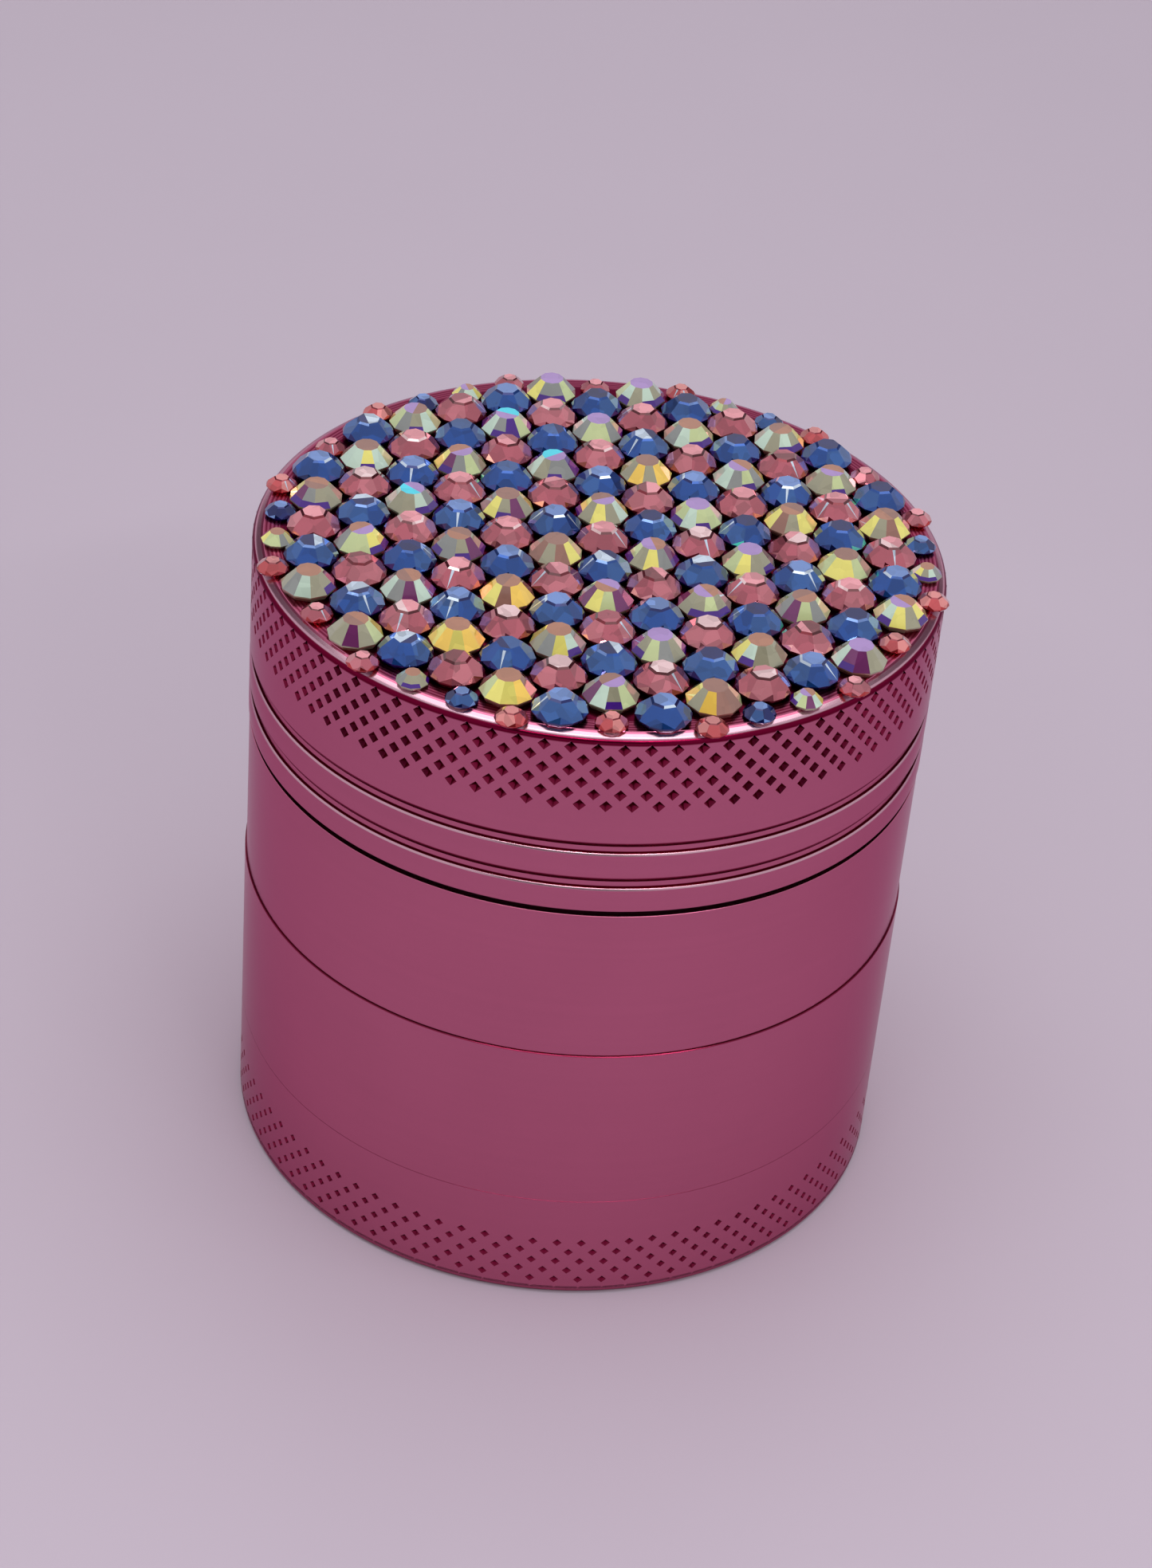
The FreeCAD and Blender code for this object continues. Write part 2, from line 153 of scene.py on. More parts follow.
class Shape:
    """Corners given in millimetres, faces as lists of corner numbers, and each corner's painted shade."""

    def __init__(self):
        self.corners = []
        self.depths = []
        self.faces = []

    def corner(self, x, y, z, depth=0.0):
        self.corners.append((x * MM, y * MM, z * MM))
        self.depths.append(depth)
        return len(self.corners) - 1

    def shaded_copy(self, index, depth):
        """A second corner on the same spot with more painted shade, for a sharp change of colour."""
        self.corners.append(self.corners[index])
        self.depths.append(depth)
        return len(self.corners) - 1

    def polar(self, radius, angle, z, depth=0.0):
        turn = math.radians(angle)
        return self.corner(radius * math.cos(turn), radius * math.sin(turn), z, depth)

    def ring(self, radius, z, depth=0.0, start=0.0):
        if radius == 0:
            return [self.corner(0, 0, z)]
        return [self.polar(radius, start + 360.0 * step / STEPS, z, depth) for step in range(STEPS)]

    def bridge(self, low, high):
        count = max(len(low), len(high))
        for step in range(count):
            after = (step + 1) % count
            a, b = low[step % len(low)], low[after % len(low)]
            c, d = high[after % len(high)], high[step % len(high)]
            face = [a, b, c, d]
            self.faces.append([index for place, index in enumerate(face) if index not in face[:place]])

    def piece(self, name, body, *stands_for, sharp=25.0):
        """Makes the Blender object, smooth up to the given angle, and lets it stand for CAD nodes."""
        mesh = bpy.data.meshes.new(name)
        mesh.from_pydata(self.corners, [], self.faces)
        work = bmesh.new()
        work.from_mesh(mesh)
        bmesh.ops.recalc_face_normals(work, faces=work.faces)
        work.to_mesh(mesh)
        work.free()
        mesh.shade_smooth()
        mesh.set_sharp_from_angle(angle=math.radians(sharp))
        depth = mesh.attributes.new("depth", "FLOAT", "POINT")
        depth.data.foreach_set("value", self.depths)
        made = bpy.data.objects.new(name, mesh)
        bpy.context.scene.collection.objects.link(made)
        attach(made, body)
        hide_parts(*stands_for)
        print(name, "corners:", len(self.corners), "faces:", len(self.faces))
        return made


# %% Levels of painted shade, with a painted highlight below 0
DARK, DIM, HALF_DIM, FAINT, PAINTED_HIGHLIGHT = 1.0, 0.9, 0.5, 0.3, -1.0
print("depths from dark to rubbed bright:", DARK, DIM, HALF_DIM, FAINT, PAINTED_HIGHLIGHT)

# %% [markdown]
# ## Turning on the lathe
#
# A turned part is one closed outline of radius and height, spun round the axis. Where the outline passes a
# knurled band, the two rings there are bridged by dimples instead of plain faces. A real knurled band like
# this one is pressed or engraved as rows of small diamonds, each row moved half a step. So the band is
# tiled with rhombs that fit each other, and each rhomb holds one four-sided pit. Cutting the pits with a
# boolean would give long thin triangles that shade badly on a curved wall.


# %% Lathe work
def turn_profile(shape, outline, knurls=(), start=0.0):
    """Spins a closed outline of (radius, height) or (radius, height, depth) points.
    Each knurl is (place in the outline, radius, rows, first row, pitch, size)."""
    rings = [shape.ring(*point, start=start) for point in outline]
    banded = {knurl[0]: knurl[1:] for knurl in knurls}
    for place, low in enumerate(rings):
        high = rings[(place + 1) % len(rings)]
        if place in banded:
            knurl_band(shape, low, high, start, *banded[place])
        elif len(low) > 1 or len(high) > 1:
            shape.bridge(low, high)


print("from one dimple to the next, in degrees:", round(360.0 / COLUMNS, 2))


# %% Knurling
PIT_WALL_TOP = 0.93


def knurl_band(shape, low, high, start, radius, rows, first_row, pitch, size):
    """Fills the wall between two rings with rhombs that each hold a pit."""
    step = 360.0 / STEPS
    knots = [low]
    for row in range(rows):
        height = first_row + row * pitch
        level = [None] * STEPS
        for place in range(1 - row % 2, STEPS, 2):
            level[place] = shape.polar(radius, start + place * step, height)
        knots.append(level)
    knots.append(high)
    for row in range(rows):
        height = first_row + row * pitch
        for place in range(row % 2, STEPS, 2):
            after, before = (place + 1) % STEPS, place - 1
            around = [knots[row][place], knots[row + 1][after], knots[row + 2][place], knots[row + 1][before]]
            pit(shape, around, radius, start + place * step, height, size)
    for edge, level, odd in ((low, knots[1], 0), (high, knots[-2], (rows - 1) % 2)):
        for place in range(1 - odd, STEPS, 2):
            before, after = place - 1, (place + 1) % STEPS
            shape.faces.append([edge[before], edge[place], level[place]])
            shape.faces.append([edge[place], edge[after], level[place]])


def pit(shape, around, radius, angle, height, size):
    """One four-sided pit inside its rhomb: bottom, right, top and left corners, then the tip.
    Its walls have corners of their own, which are darker with painted shade from their upper edge on, and the
    tip is darkest."""
    width, tall, deep = size
    half_angle = math.degrees(0.5 * width / radius)
    rim = [
        shape.polar(radius, angle, height - 0.5 * tall),
        shape.polar(radius, angle + half_angle, height),
        shape.polar(radius, angle, height + 0.5 * tall),
        shape.polar(radius, angle - half_angle, height),
    ]
    walls = [shape.shaded_copy(index, PIT_WALL_TOP) for index in rim]
    tip = shape.polar(radius - deep, angle, height, DARK)
    for side in range(4):
        after = (side + 1) % 4
        shape.faces.append([around[side], around[after], rim[after], rim[side]])
        shape.faces.append([walls[side], walls[after], tip])


print("depth at the upper edge of a dimple's walls:", PIT_WALL_TOP)

# %% [markdown]
# ## Sizes
#
# The heights come from the boxes of the solid model: seams, shoulders and faces are the ends of its nodes.
# What a box can't tell, such as a wall's setback, a groove's depth or a thread's pitch, is written here, in
# millimetres. The other way would be to copy every height out of the model, but then a change to the model
# would leave the meshes behind.


# %% Places and sizes
def low_of(node):
    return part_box(node)[0].z / MM


def high_of(node):
    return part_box(node)[1].z / MM


def radius_of(node):
    return round(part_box(node)[1].x / MM, 2)


def rounded(value):
    return round(value, 3)


BODY_RADIUS = 25.0
CHAMBER_RADIUS = 24.88
LID_RADIUS = 24.95
LID_GAP = 0.36
SEAT_GAP = 0.02
CATCHER_SEAM = rounded(high_of("catcher"))
STORAGE_SEAM = rounded(high_of("storage_cup"))
LID_SKIRT = rounded(low_of("friction_ring") - SEAT_GAP + LID_GAP)
SHOULDER = LID_SKIRT - LID_GAP
LID_TOP = rounded(high_of("lid"))
SPIGOT_TOP = rounded(high_of("grinding_chamber"))
NECK_LENGTH = rounded(STORAGE_SEAM - low_of("grinding_chamber"))
print("seams:", CATCHER_SEAM, STORAGE_SEAM, "lid:", LID_SKIRT, LID_TOP, "neck:", NECK_LENGTH)

# %% [markdown]
# ## Teeth and hubs
#
# Rings of pointed teeth stand in the lid and in the grinding chamber, and in the middle of each stands a
# hub with a magnet in its end. On the real object they are milled from the cup's own metal. Here each is a
# closed shape of its own that is rooted in the floor or the ceiling. A boolean could melt them together,
# but nobody sees the joint, and it would leave long thin faces.


# %% Teeth
TOOTH_LENGTH, TOOTH_FLAT, TOOTH_WIDTH = 4.2, 1.512, 2.3
TOOTH_EASE = 0.12
ROOTED = 1.0


def teeth(shape, rings, low, high, free_end):
    """Rings of pointed lozenges. Their free end is a little smaller, as milled teeth are eased there."""
    half_length, half_flat, half_width = 0.5 * TOOTH_LENGTH, 0.5 * TOOTH_FLAT, 0.5 * TOOTH_WIDTH
    lozenge = [(0, -half_length), (half_width, -half_flat), (half_width, half_flat),
               (0, half_length), (-half_width, half_flat), (-half_width, -half_flat)]
    for radius, count in rings:
        for index in range(count):
            turn = Matrix.Rotation(math.radians(360.0 * (index + 0.5) / count), 2)
            levels = []
            for height, share in tooth_levels(low, high, free_end):
                spots = [turn @ Vector((radius + x * share, y * share)) for x, y in lozenge]
                levels.append([shape.corner(spot.x, spot.y, height) for spot in spots])
            for below, above in zip(levels, levels[1:]):
                shape.bridge(below, above)
            shape.faces += [levels[0][::-1], levels[-1]]


def tooth_levels(low, high, free_end):
    shrink = 1.0 - TOOTH_EASE / (0.5 * TOOTH_WIDTH)
    if free_end == "low":
        return (low, shrink), (low + TOOTH_EASE, 1.0), (high, 1.0)
    return (low, 1.0), (high - TOOTH_EASE, 1.0), (high, shrink)


print("a tooth is", TOOTH_LENGTH, "mm long and", TOOTH_WIDTH, "mm wide")

# %% Hubs
HUB_RADIUS, HUB_EASE = 4.5, 0.15
POCKET_RADIUS = 3.1
POCKET_ROOM = 0.02


def hub(shape, face, root, pocket_floor):
    """A post with a magnet pocket in its end. The face is its free end, and the root is in the metal."""
    ease = HUB_EASE if face > root else -HUB_EASE
    turn_profile(shape, [(0, root), (HUB_RADIUS, root), (HUB_RADIUS, face - ease),
                         (HUB_RADIUS - HUB_EASE, face), (POCKET_RADIUS, face),
                         (POCKET_RADIUS, pocket_floor), (0, pocket_floor)])


print("a hub is", 2 * HUB_RADIUS, "mm across and its pocket", 2 * POCKET_RADIUS)

# %% [markdown]
# ## The lid
#
# The lid is one turning: a skirt that slips over the grinding chamber, two grooves, a knurled band, a
# bright bevel round the top and fine rings that the tool left on the top face. Every edge that a hand would
# touch is eased by a few hundredths of a millimetre, because a perfectly sharp edge never catches the
# light. The edges could get a bevel modifier instead, but in the outline each one has its own width and its
# own tint.


# %% Grooves, rim and rings
EASED = 0.04
GROOVE_RISES = (2.03, 4.95)
GROOVE_HEIGHT, GROOVE_DEPTH, GROOVE_SLOPE = 0.88, 0.23, 0.38
GROOVE_CHAMFER = (0.1, 0.12)
GROOVE_DARK_CORNER = (0.12, 0.15)
SLOPE_FOOT = (0.02, 0.04)
RIM_BEVEL = (0.75, 0.34)
RIM_ROUND, RIM_STEPS, DARK_RIM_STEPS = 0.6, 8, 5


def groove(low):
    """From the chamfered lower edge up to the sloping face that the cutting tool leaves above. The chamfer
    gets a painted highlight, and the lower corner and the slope are darker with painted shade."""
    wall, floor, top = LID_RADIUS, LID_RADIUS - GROOVE_DEPTH, low + GROOVE_HEIGHT
    edge, foot, slope = wall - GROOVE_CHAMFER[0], low - GROOVE_CHAMFER[1], top - GROOVE_SLOPE
    dark_top, plain_foot = low + GROOVE_DARK_CORNER[0], low + GROOVE_DARK_CORNER[1]
    return [(wall, foot - EASED), (wall - 0.3 * EASED, foot, PAINTED_HIGHLIGHT),
            (edge, low - 0.3 * EASED, PAINTED_HIGHLIGHT), (edge - EASED, low, DARK),
            (floor, low, DARK), (floor, dark_top, DARK), (floor, plain_foot), (floor, slope),
            (floor + SLOPE_FOOT[0], slope + SLOPE_FOOT[1], DIM),
            (wall - 0.5 * EASED, top - EASED, DIM), (wall, top - 0.3 * EASED, DIM), (wall, top + EASED, DIM),
            (wall, top + 2 * EASED)]


def rounded_rim():
    """The edge between the wall and the bevel, as an arc that touches both. Its foot is darker with painted
    shade.
    """
    slope = math.atan2(RIM_BEVEL[0], RIM_BEVEL[1])
    start = LID_TOP - RIM_BEVEL[1] - RIM_ROUND * math.tan(0.5 * slope)
    points = []
    for step in range(RIM_STEPS + 1):
        turn = slope * step / RIM_STEPS
        depth = DARK if 1 <= step <= DARK_RIM_STEPS else 0.0
        points.append((LID_RADIUS - RIM_ROUND + RIM_ROUND * math.cos(turn),
                       start + RIM_ROUND * math.sin(turn), depth))
    return points


def turned_rings(outer, inner, pitch, deep):
    """Fine rings on the top face, from the rim inwards. Their valleys are darker with painted shade, and
    their crests a little.
    """
    found = []
    for index in range(int((outer - inner) / pitch)):
        radius = outer - index * pitch
        found += [(radius, LID_TOP, FAINT), (radius - 0.5 * pitch, LID_TOP - deep, DARK)]
    return found


print("points in a groove:", len(groove(0.0)), "in the rim:", len(rounded_rim()))

# %% The lid's skirt and inside
SKIRT_EDGE = 0.15
CEILING_THICKNESS = 4.0
BORE_WALL, BORE_RELIEF, CAVITY_STEP = 2.15, 0.75, 1.4
RING_GROOVE_WIDTH, RING_GROOVE_DEPTH, RING_GROOVE_WALL = 1.0, 0.6, 0.75
CAVITY_ROUND = 1.0
CAVITY_ARC = ((1.0, 0.0), (0.5, 0.13), (0.13, 0.5), (0.0, 1.0))
ceiling = LID_TOP - CEILING_THICKNESS
bore = LID_RADIUS - BORE_WALL
cavity = bore - CAVITY_STEP
groove_outer = LID_RADIUS - RING_GROOVE_WALL
groove_inner = groove_outer - RING_GROOVE_WIDTH
groove_end = LID_SKIRT + RING_GROOVE_DEPTH
skirt = [
    (bore, LID_SKIRT), (groove_inner, LID_SKIRT), (groove_inner, groove_end), (groove_outer, groove_end),
    (groove_outer, LID_SKIRT), (LID_RADIUS - SKIRT_EDGE, LID_SKIRT), (LID_RADIUS, LID_SKIRT + SKIRT_EDGE),
]
inside = [
    (0, ceiling),
    *[(cavity - back * CAVITY_ROUND, ceiling - down * CAVITY_ROUND) for back, down in CAVITY_ARC],
    (cavity, SPIGOT_TOP + BORE_RELIEF), (bore, SPIGOT_TOP + BORE_RELIEF),
]
print("bore and cavity of the lid, radii in mm:", round(bore, 2), round(cavity, 2))

# %% The lid
FRONT = -90.0
ROW_PITCH = 0.91
LID_ROWS, LID_TOP_ROW, LID_KNURL_TURN = 6, 1.03, 0.27
LID_PIT = (0.9, 0.92, 0.34)
RINGS_FROM_WALL, RINGS_END, RING_PITCH, RING_DEPTH = 0.85, 1.0, 0.28, 0.025
LID_TEETH = ((11.6, 8), (17.6, 12))
lid_first_row = LID_TOP - LID_TOP_ROW - (LID_ROWS - 1) * ROW_PITCH
lid = Shape()
lid_outline = [*skirt, *groove(LID_SKIRT + GROOVE_RISES[0]), *groove(LID_SKIRT + GROOVE_RISES[1])]
lid_knurl = (len(lid_outline), LID_RADIUS, LID_ROWS, lid_first_row, ROW_PITCH, LID_PIT)
lid_outline += [
    (LID_RADIUS, lid_first_row - ROW_PITCH), *rounded_rim(),
    (LID_RADIUS - RIM_BEVEL[0], LID_TOP - EASED), (LID_RADIUS - RIM_BEVEL[0] - EASED, LID_TOP),
    *turned_rings(LID_RADIUS - RINGS_FROM_WALL, RINGS_END, RING_PITCH, RING_DEPTH), (0, LID_TOP), *inside,
]
turn_profile(lid, lid_outline, [lid_knurl], FRONT + LID_KNURL_TURN)
hub(lid, low_of("lid_magnet"), ceiling + ROOTED, high_of("lid_magnet") + POCKET_ROOM)
teeth(lid, LID_TEETH, low_of("lid_teeth"), ceiling + ROOTED, "low")
lid_shell = lid.piece("lid_shell", "lid", "lid", "lid_teeth")

# %% [markdown]
# ## Threads
#
# The cups screw together on a coarse thread of about two turns. A thread is a ridge wound round the wall:
# four corners of its section are carried up a helix, a band of faces joins each section to the next, and
# both ends are closed. Blender's Screw modifier would also do, but the ridge has to start and stop at the
# right angle so that the two cups' ridges pass between each other.


# %% A wound ridge
THREAD_PITCH, THREAD_TURNS, FEMALE_START = 1.5, 2.0, 0.5
RIDGE_HEIGHT, RIDGE_ROOT, RIDGE_CREST, RIDGE_SUNK = 0.45, 0.8, 0.4, 0.05
RUN_OUT = 0.25
STEPS_PER_TURN = 72


def thread_ridge(shape, radius, outward, seam):
    """A right-handed ridge. The female one starts later, and lies half a pitch lower in its socket."""
    side, first, drop = (1.0, 0.0, 0.0) if outward else (-1.0, FEMALE_START, 0.5 * THREAD_PITCH)
    low = seam - NECK_LENGTH + RUN_OUT + 0.5 * RIDGE_ROOT - drop
    section = [(-RIDGE_SUNK, -0.5 * RIDGE_ROOT), (RIDGE_HEIGHT, -0.5 * RIDGE_CREST),
               (RIDGE_HEIGHT, 0.5 * RIDGE_CREST), (-RIDGE_SUNK, 0.5 * RIDGE_ROOT)]
    steps = int(STEPS_PER_TURN * (THREAD_TURNS - first))
    rings = []
    for step in range(steps + 1):
        turns = first + (THREAD_TURNS - first) * step / steps
        rings.append([shape.polar(radius + side * out, 360.0 * turns, low + THREAD_PITCH * turns + up)
                      for out, up in section])
    for before, after in zip(rings, rings[1:]):
        shape.bridge(before, after)
    shape.faces += [rings[0][::-1], rings[-1]]


print("thread: pitch", THREAD_PITCH, "mm,", THREAD_TURNS, "turns, ridge", RIDGE_HEIGHT, "mm high")

# %% [markdown]
# ## Sockets, necks and bowls
#
# Each cup screws a neck into the socket of the cup below. Both are plain turned steps, so they are short
# lists of outline points that the cups share. At a seam both lips are darker with painted shade, where the
# joint between the cups lies in shade. One could model each cup's whole outline by itself, but then a neck
# might not fit its socket.

# %% Outline points that the cups share
SOCKET_WALL, SOCKET_RELIEF, NECK_WALL = 1.8, 0.4, 1.4
THREAD_CLEARANCE = 0.2
SOCKET = BODY_RADIUS - SOCKET_WALL
NECK = SOCKET - RIDGE_HEIGHT - THREAD_CLEARANCE
BOWL = NECK - NECK_WALL
SOCKET_DEPTH = NECK_LENGTH + SOCKET_RELIEF
MOUTH = 0.3
CORNER_STEPS = 6


# The DIM and FAINT levels on the lips of sockets and necks are painted shade.
def socket(seam, edge):
    bottom = seam - SOCKET_DEPTH
    return [(BODY_RADIUS, seam - edge - EASED), (BODY_RADIUS, seam - edge, DIM),
            (BODY_RADIUS - edge, seam, DIM), (SOCKET + MOUTH, seam), (SOCKET, seam - MOUTH),
            (SOCKET, bottom), (BOWL, bottom)]


def neck(seam, wall, edge):
    end = seam - NECK_LENGTH
    return [(NECK - MOUTH, end), (NECK, end + MOUTH), (NECK, seam), (wall - edge, seam, FAINT),
            (wall, seam + edge, FAINT), (wall, seam + edge + EASED)]


def rounded_corner(radius, z, size):
    """The rounded foot of a bowl's wall, from the wall in to the floor."""
    points = []
    for step in range(CORNER_STEPS + 1):
        turn = 0.5 * math.pi * step / CORNER_STEPS
        points.append((radius - size + size * math.cos(turn), z + size - size * math.sin(turn)))
    return points


print("radii in mm: socket", round(SOCKET, 2), "neck", round(NECK, 2), "bowl", round(BOWL, 2))

# %% [markdown]
# ## The catcher and the storage cup
#
# The catcher is the knurled foot of the stack, a shallow bowl for the fine powder. The storage cup stands
# on it and has no floor of its own: a steel screen lies under a narrow ledge, held by an open spring ring.
# Both are spun from one outline each, and their threads are wound on. Stacked cylinders could make them
# too, but the dimples and the rounded bowls need the outline.

# %% The catcher
TIGHT_EDGE, SEAM_EDGE = 0.01, 0.05
FOOT_EDGE, FOOT_SHADE = 0.3, 0.7
CATCHER_ROWS, CATCHER_FIRST_ROW, CATCHER_KNURL_TURN = 5, 1.4, 3.26
CATCHER_PIT = (0.70, 0.66, 0.22)
CATCHER_FLOOR, BOWL_ROUND = 2.2, 2.0
catcher = Shape()
# The foot's lower edge is darker with painted shade, the mirrored shadow on the table, fading out up to
# FOOT_SHADE.
catcher_outline = [(0, 0), (BODY_RADIUS - FOOT_EDGE, 0, HALF_DIM), (BODY_RADIUS, FOOT_EDGE, HALF_DIM),
                   (BODY_RADIUS, FOOT_SHADE)]
catcher_knurl = (len(catcher_outline), BODY_RADIUS, CATCHER_ROWS, CATCHER_FIRST_ROW, ROW_PITCH, CATCHER_PIT)
catcher_outline += [
    (BODY_RADIUS, CATCHER_FIRST_ROW - ROW_PITCH), (BODY_RADIUS, CATCHER_FIRST_ROW + CATCHER_ROWS * ROW_PITCH),
    *socket(CATCHER_SEAM, TIGHT_EDGE), *rounded_corner(BOWL, CATCHER_FLOOR, BOWL_ROUND), (0, CATCHER_FLOOR),
]
turn_profile(catcher, catcher_outline, [catcher_knurl], FRONT + CATCHER_KNURL_TURN)
thread_ridge(catcher, SOCKET, False, CATCHER_SEAM)
catcher_shell = catcher.piece("catcher_shell", "catcher", "catcher")

# %% The storage cup
SCREEN_ROOM = 0.15
LEDGE_WIDTH, LEDGE_RISE, LEDGE_DROP = 1.2, 1.1, 0.3
storage = Shape()
screen_seat = radius_of("screen") + SCREEN_ROOM
ledge = screen_seat - LEDGE_WIDTH
ledge_top, ledge_under = CATCHER_SEAM + LEDGE_RISE, CATCHER_SEAM - LEDGE_DROP
turn_profile(storage, [
    (screen_seat, CATCHER_SEAM - NECK_LENGTH), *neck(CATCHER_SEAM, BODY_RADIUS, TIGHT_EDGE),
    *socket(STORAGE_SEAM, SEAM_EDGE), *rounded_corner(BOWL, ledge_top, BOWL_ROUND),
    (ledge, ledge_top), (ledge, ledge_under), (screen_seat, ledge_under),
])
thread_ridge(storage, NECK, True, CATCHER_SEAM)
thread_ridge(storage, SOCKET, False, STORAGE_SEAM)
storage_shell = storage.piece("storage_cup_shell", "storage_cup", "storage_cup")

# %% [markdown]
# ## The grinding chamber
#
# Its floor is pierced by two rings of drop holes. Blender can fill a flat outline that has holes in it, so
# the two faces of the floor are filled that way and the holes' walls are bridged between them. The rest is
# turned. Cutting the holes with a boolean would do too, but it would leave long thin faces beside them.


# %% Filling a flat face with holes
def around_circle(radius, count):
    turns = [2 * math.pi * index / count for index in range(count)]
    return [(radius * math.cos(turn), radius * math.sin(turn)) for turn in turns]


def fill_flat(shape, loops):
    """Fills the space between one outer loop of corners and the holes inside it."""
    work = bmesh.new()
    edges = []
    for loop in loops:
        verts = [work.verts.new(shape.corners[index]) for index in loop]
        edges += [work.edges.new((verts[k - 1], verts[k])) for k in range(len(verts))]
    work.verts.index_update()
    filled = bmesh.ops.triangle_fill(work, use_beauty=True, use_dissolve=False, edges=edges)
    order = [index for loop in loops for index in loop]
    for face in filled["geom"]:
        if isinstance(face, bmesh.types.BMFace):
            shape.faces.append([order[vert.index] for vert in face.verts])
    work.free()


print("the corners of a square:", [(round(x), round(y)) for x, y in around_circle(1, 4)])

# %% The chamber's wall
FLOOR_THICKNESS, FLOOR_ROUND = 2.6, 1.0
SHOULDER_EDGE = 0.03
SPIGOT_CLEARANCE, SPIGOT_LEAD, SPIGOT_LIP = 0.2, 0.3, 0.1
floor_top = STORAGE_SEAM + FLOOR_THICKNESS
spigot = bore - SPIGOT_CLEARANCE
chamber = Shape()
chamber_outline = [
    (BOWL - FLOOR_ROUND, STORAGE_SEAM), (BOWL, STORAGE_SEAM), (BOWL, STORAGE_SEAM - NECK_LENGTH),
    *neck(STORAGE_SEAM, CHAMBER_RADIUS, SEAM_EDGE),
    (CHAMBER_RADIUS, SHOULDER - SHOULDER_EDGE), (CHAMBER_RADIUS - SHOULDER_EDGE, SHOULDER),
    (spigot, SHOULDER), (spigot, SPIGOT_TOP - SPIGOT_LEAD), (spigot - SPIGOT_LEAD, SPIGOT_TOP),
    (BOWL + SPIGOT_LIP, SPIGOT_TOP), (BOWL, SPIGOT_TOP - SPIGOT_LIP),
    *rounded_corner(BOWL, floor_top, FLOOR_ROUND),
]
wall_rings = [chamber.ring(*point) for point in chamber_outline]
for below, above in zip(wall_rings, wall_rings[1:]):
    chamber.bridge(below, above)
print("rings in the chamber's wall:", len(wall_rings))

# %% The chamber's floor, teeth and thread
DROP_HOLES, DROP_RADIUS, DROP_SIDES = ((11.6, 12), (17.9, 20)), 1.6, 24
CHAMBER_TEETH, CHAMBER_TOOTH_HEIGHT = ((8.6, 6), (14.6, 10)), 12.0
under_loops, over_loops = [wall_rings[0]], [wall_rings[-1]]
for ring_radius, count in DROP_HOLES:
    for middle_x, middle_y in around_circle(ring_radius, count):
        spots = [(middle_x + x, middle_y + y) for x, y in around_circle(DROP_RADIUS, DROP_SIDES)]
        under = [chamber.corner(x, y, STORAGE_SEAM) for x, y in spots]
        over = [chamber.corner(x, y, floor_top) for x, y in spots]
        chamber.bridge(under, over)
        under_loops.append(under)
        over_loops.append(over)
fill_flat(chamber, under_loops)
fill_flat(chamber, over_loops)
root = floor_top - ROOTED
hub(chamber, high_of("chamber_magnet"), root, low_of("chamber_magnet") - POCKET_ROOM)
teeth(chamber, CHAMBER_TEETH, root, floor_top + CHAMBER_TOOTH_HEIGHT, "high")
thread_ridge(chamber, NECK, True, STORAGE_SEAM)
chamber_shell = chamber.piece("grinding_chamber_shell", "grinding_chamber",
                              "grinding_chamber", "chamber_floor", "chamber_teeth")

# %% [markdown]
# ## Colours
#
# Paint makers give colours as steps from 0 to 255 on a chart, but a material takes amounts of light. One
# helper turns the first into the second, so that every colour below can be held against a chart.


# %% A colour from a chart
def chart(red, green, blue):
    amounts = []
    for step in (red, green, blue):
        share = step / 255.0
        amounts.append(share / 12.92 if share <= 0.04045 else ((share + 0.055) / 1.055) ** 2.4)
    return (*amounts, 1.0)


print("step 128 of grey is this share of the light:", round(chart(128, 128, 128)[0], 3))

# %% [markdown]
# ## Where the stones sit
#
# The solid model already has all the stones, as loose parts of six nodes. A walk over each node's mesh
# finds them: corners that share an edge belong to one stone. Its middle, its size and its turn come from
# those corners. Repeating the lattice here would also work, but then two places would hold the same
# pattern.


# %% Finding the stones
WELD = 0.002


def loose_parts(node):
    """Lists of corners in millimetres, one for each loose part of a node."""
    work = bmesh.new()
    work.from_mesh(nodes[node].data)
    bmesh.ops.remove_doubles(work, verts=work.verts, dist=WELD * MM)
    work.verts.ensure_lookup_table()
    work.verts.index_update()
    parts, seen = [], set()
    for first in work.verts:
        if first.index in seen:
            continue
        seen.add(first.index)
        part = [first]
        for vert in part:
            for edge in vert.link_edges:
                other = edge.other_vert(vert)
                if other.index not in seen:
                    seen.add(other.index)
                    part.append(other)
        parts.append([vert.co / MM for vert in part])
    work.free()
    return parts


def stone_place(part):
    """Middle, foot, radius, height and turn in degrees of one stone."""
    foot = min(point.z for point in part)
    top = max(point.z for point in part)
    x = 0.5 * (min(point.x for point in part) + max(point.x for point in part))
    y = 0.5 * (min(point.y for point in part) + max(point.y for point in part))
    far = max(part, key=lambda point: (point.x - x) ** 2 + (point.y - y) ** 2)
    radius = math.hypot(far.x - x, far.y - y)
    return x, y, foot, radius, top - foot, math.degrees(math.atan2(far.y - y, far.x - x))


STONE_NODES = [name for name in nodes if name.endswith("_stones")]
stones = {name: [stone_place(part) for part in loose_parts(name)] for name in STONE_NODES}
print("stones:", {name: len(places) for name, places in stones.items()})

# %% [markdown]
# ## Cutting the stones
#
# Two cuts are used. The coloured stones have a table with a narrow collar, broad main facets down to the
# girdle and small triangles between their feet. The clear ones are a plain cone of long facets, each with a
# break above the girdle. Every facet keeps its own tint, since the coating of such stones flashes another
# colour at every angle. The flat back is foil, and that is what makes a thin stone look bright. One stone
# could be copied to every place, but then all of them would flash alike.


# %% A shape made of stones
GIRDLE_LOW, GIRDLE_HIGH = (1.0, 0.2), (1.0, 0.27)


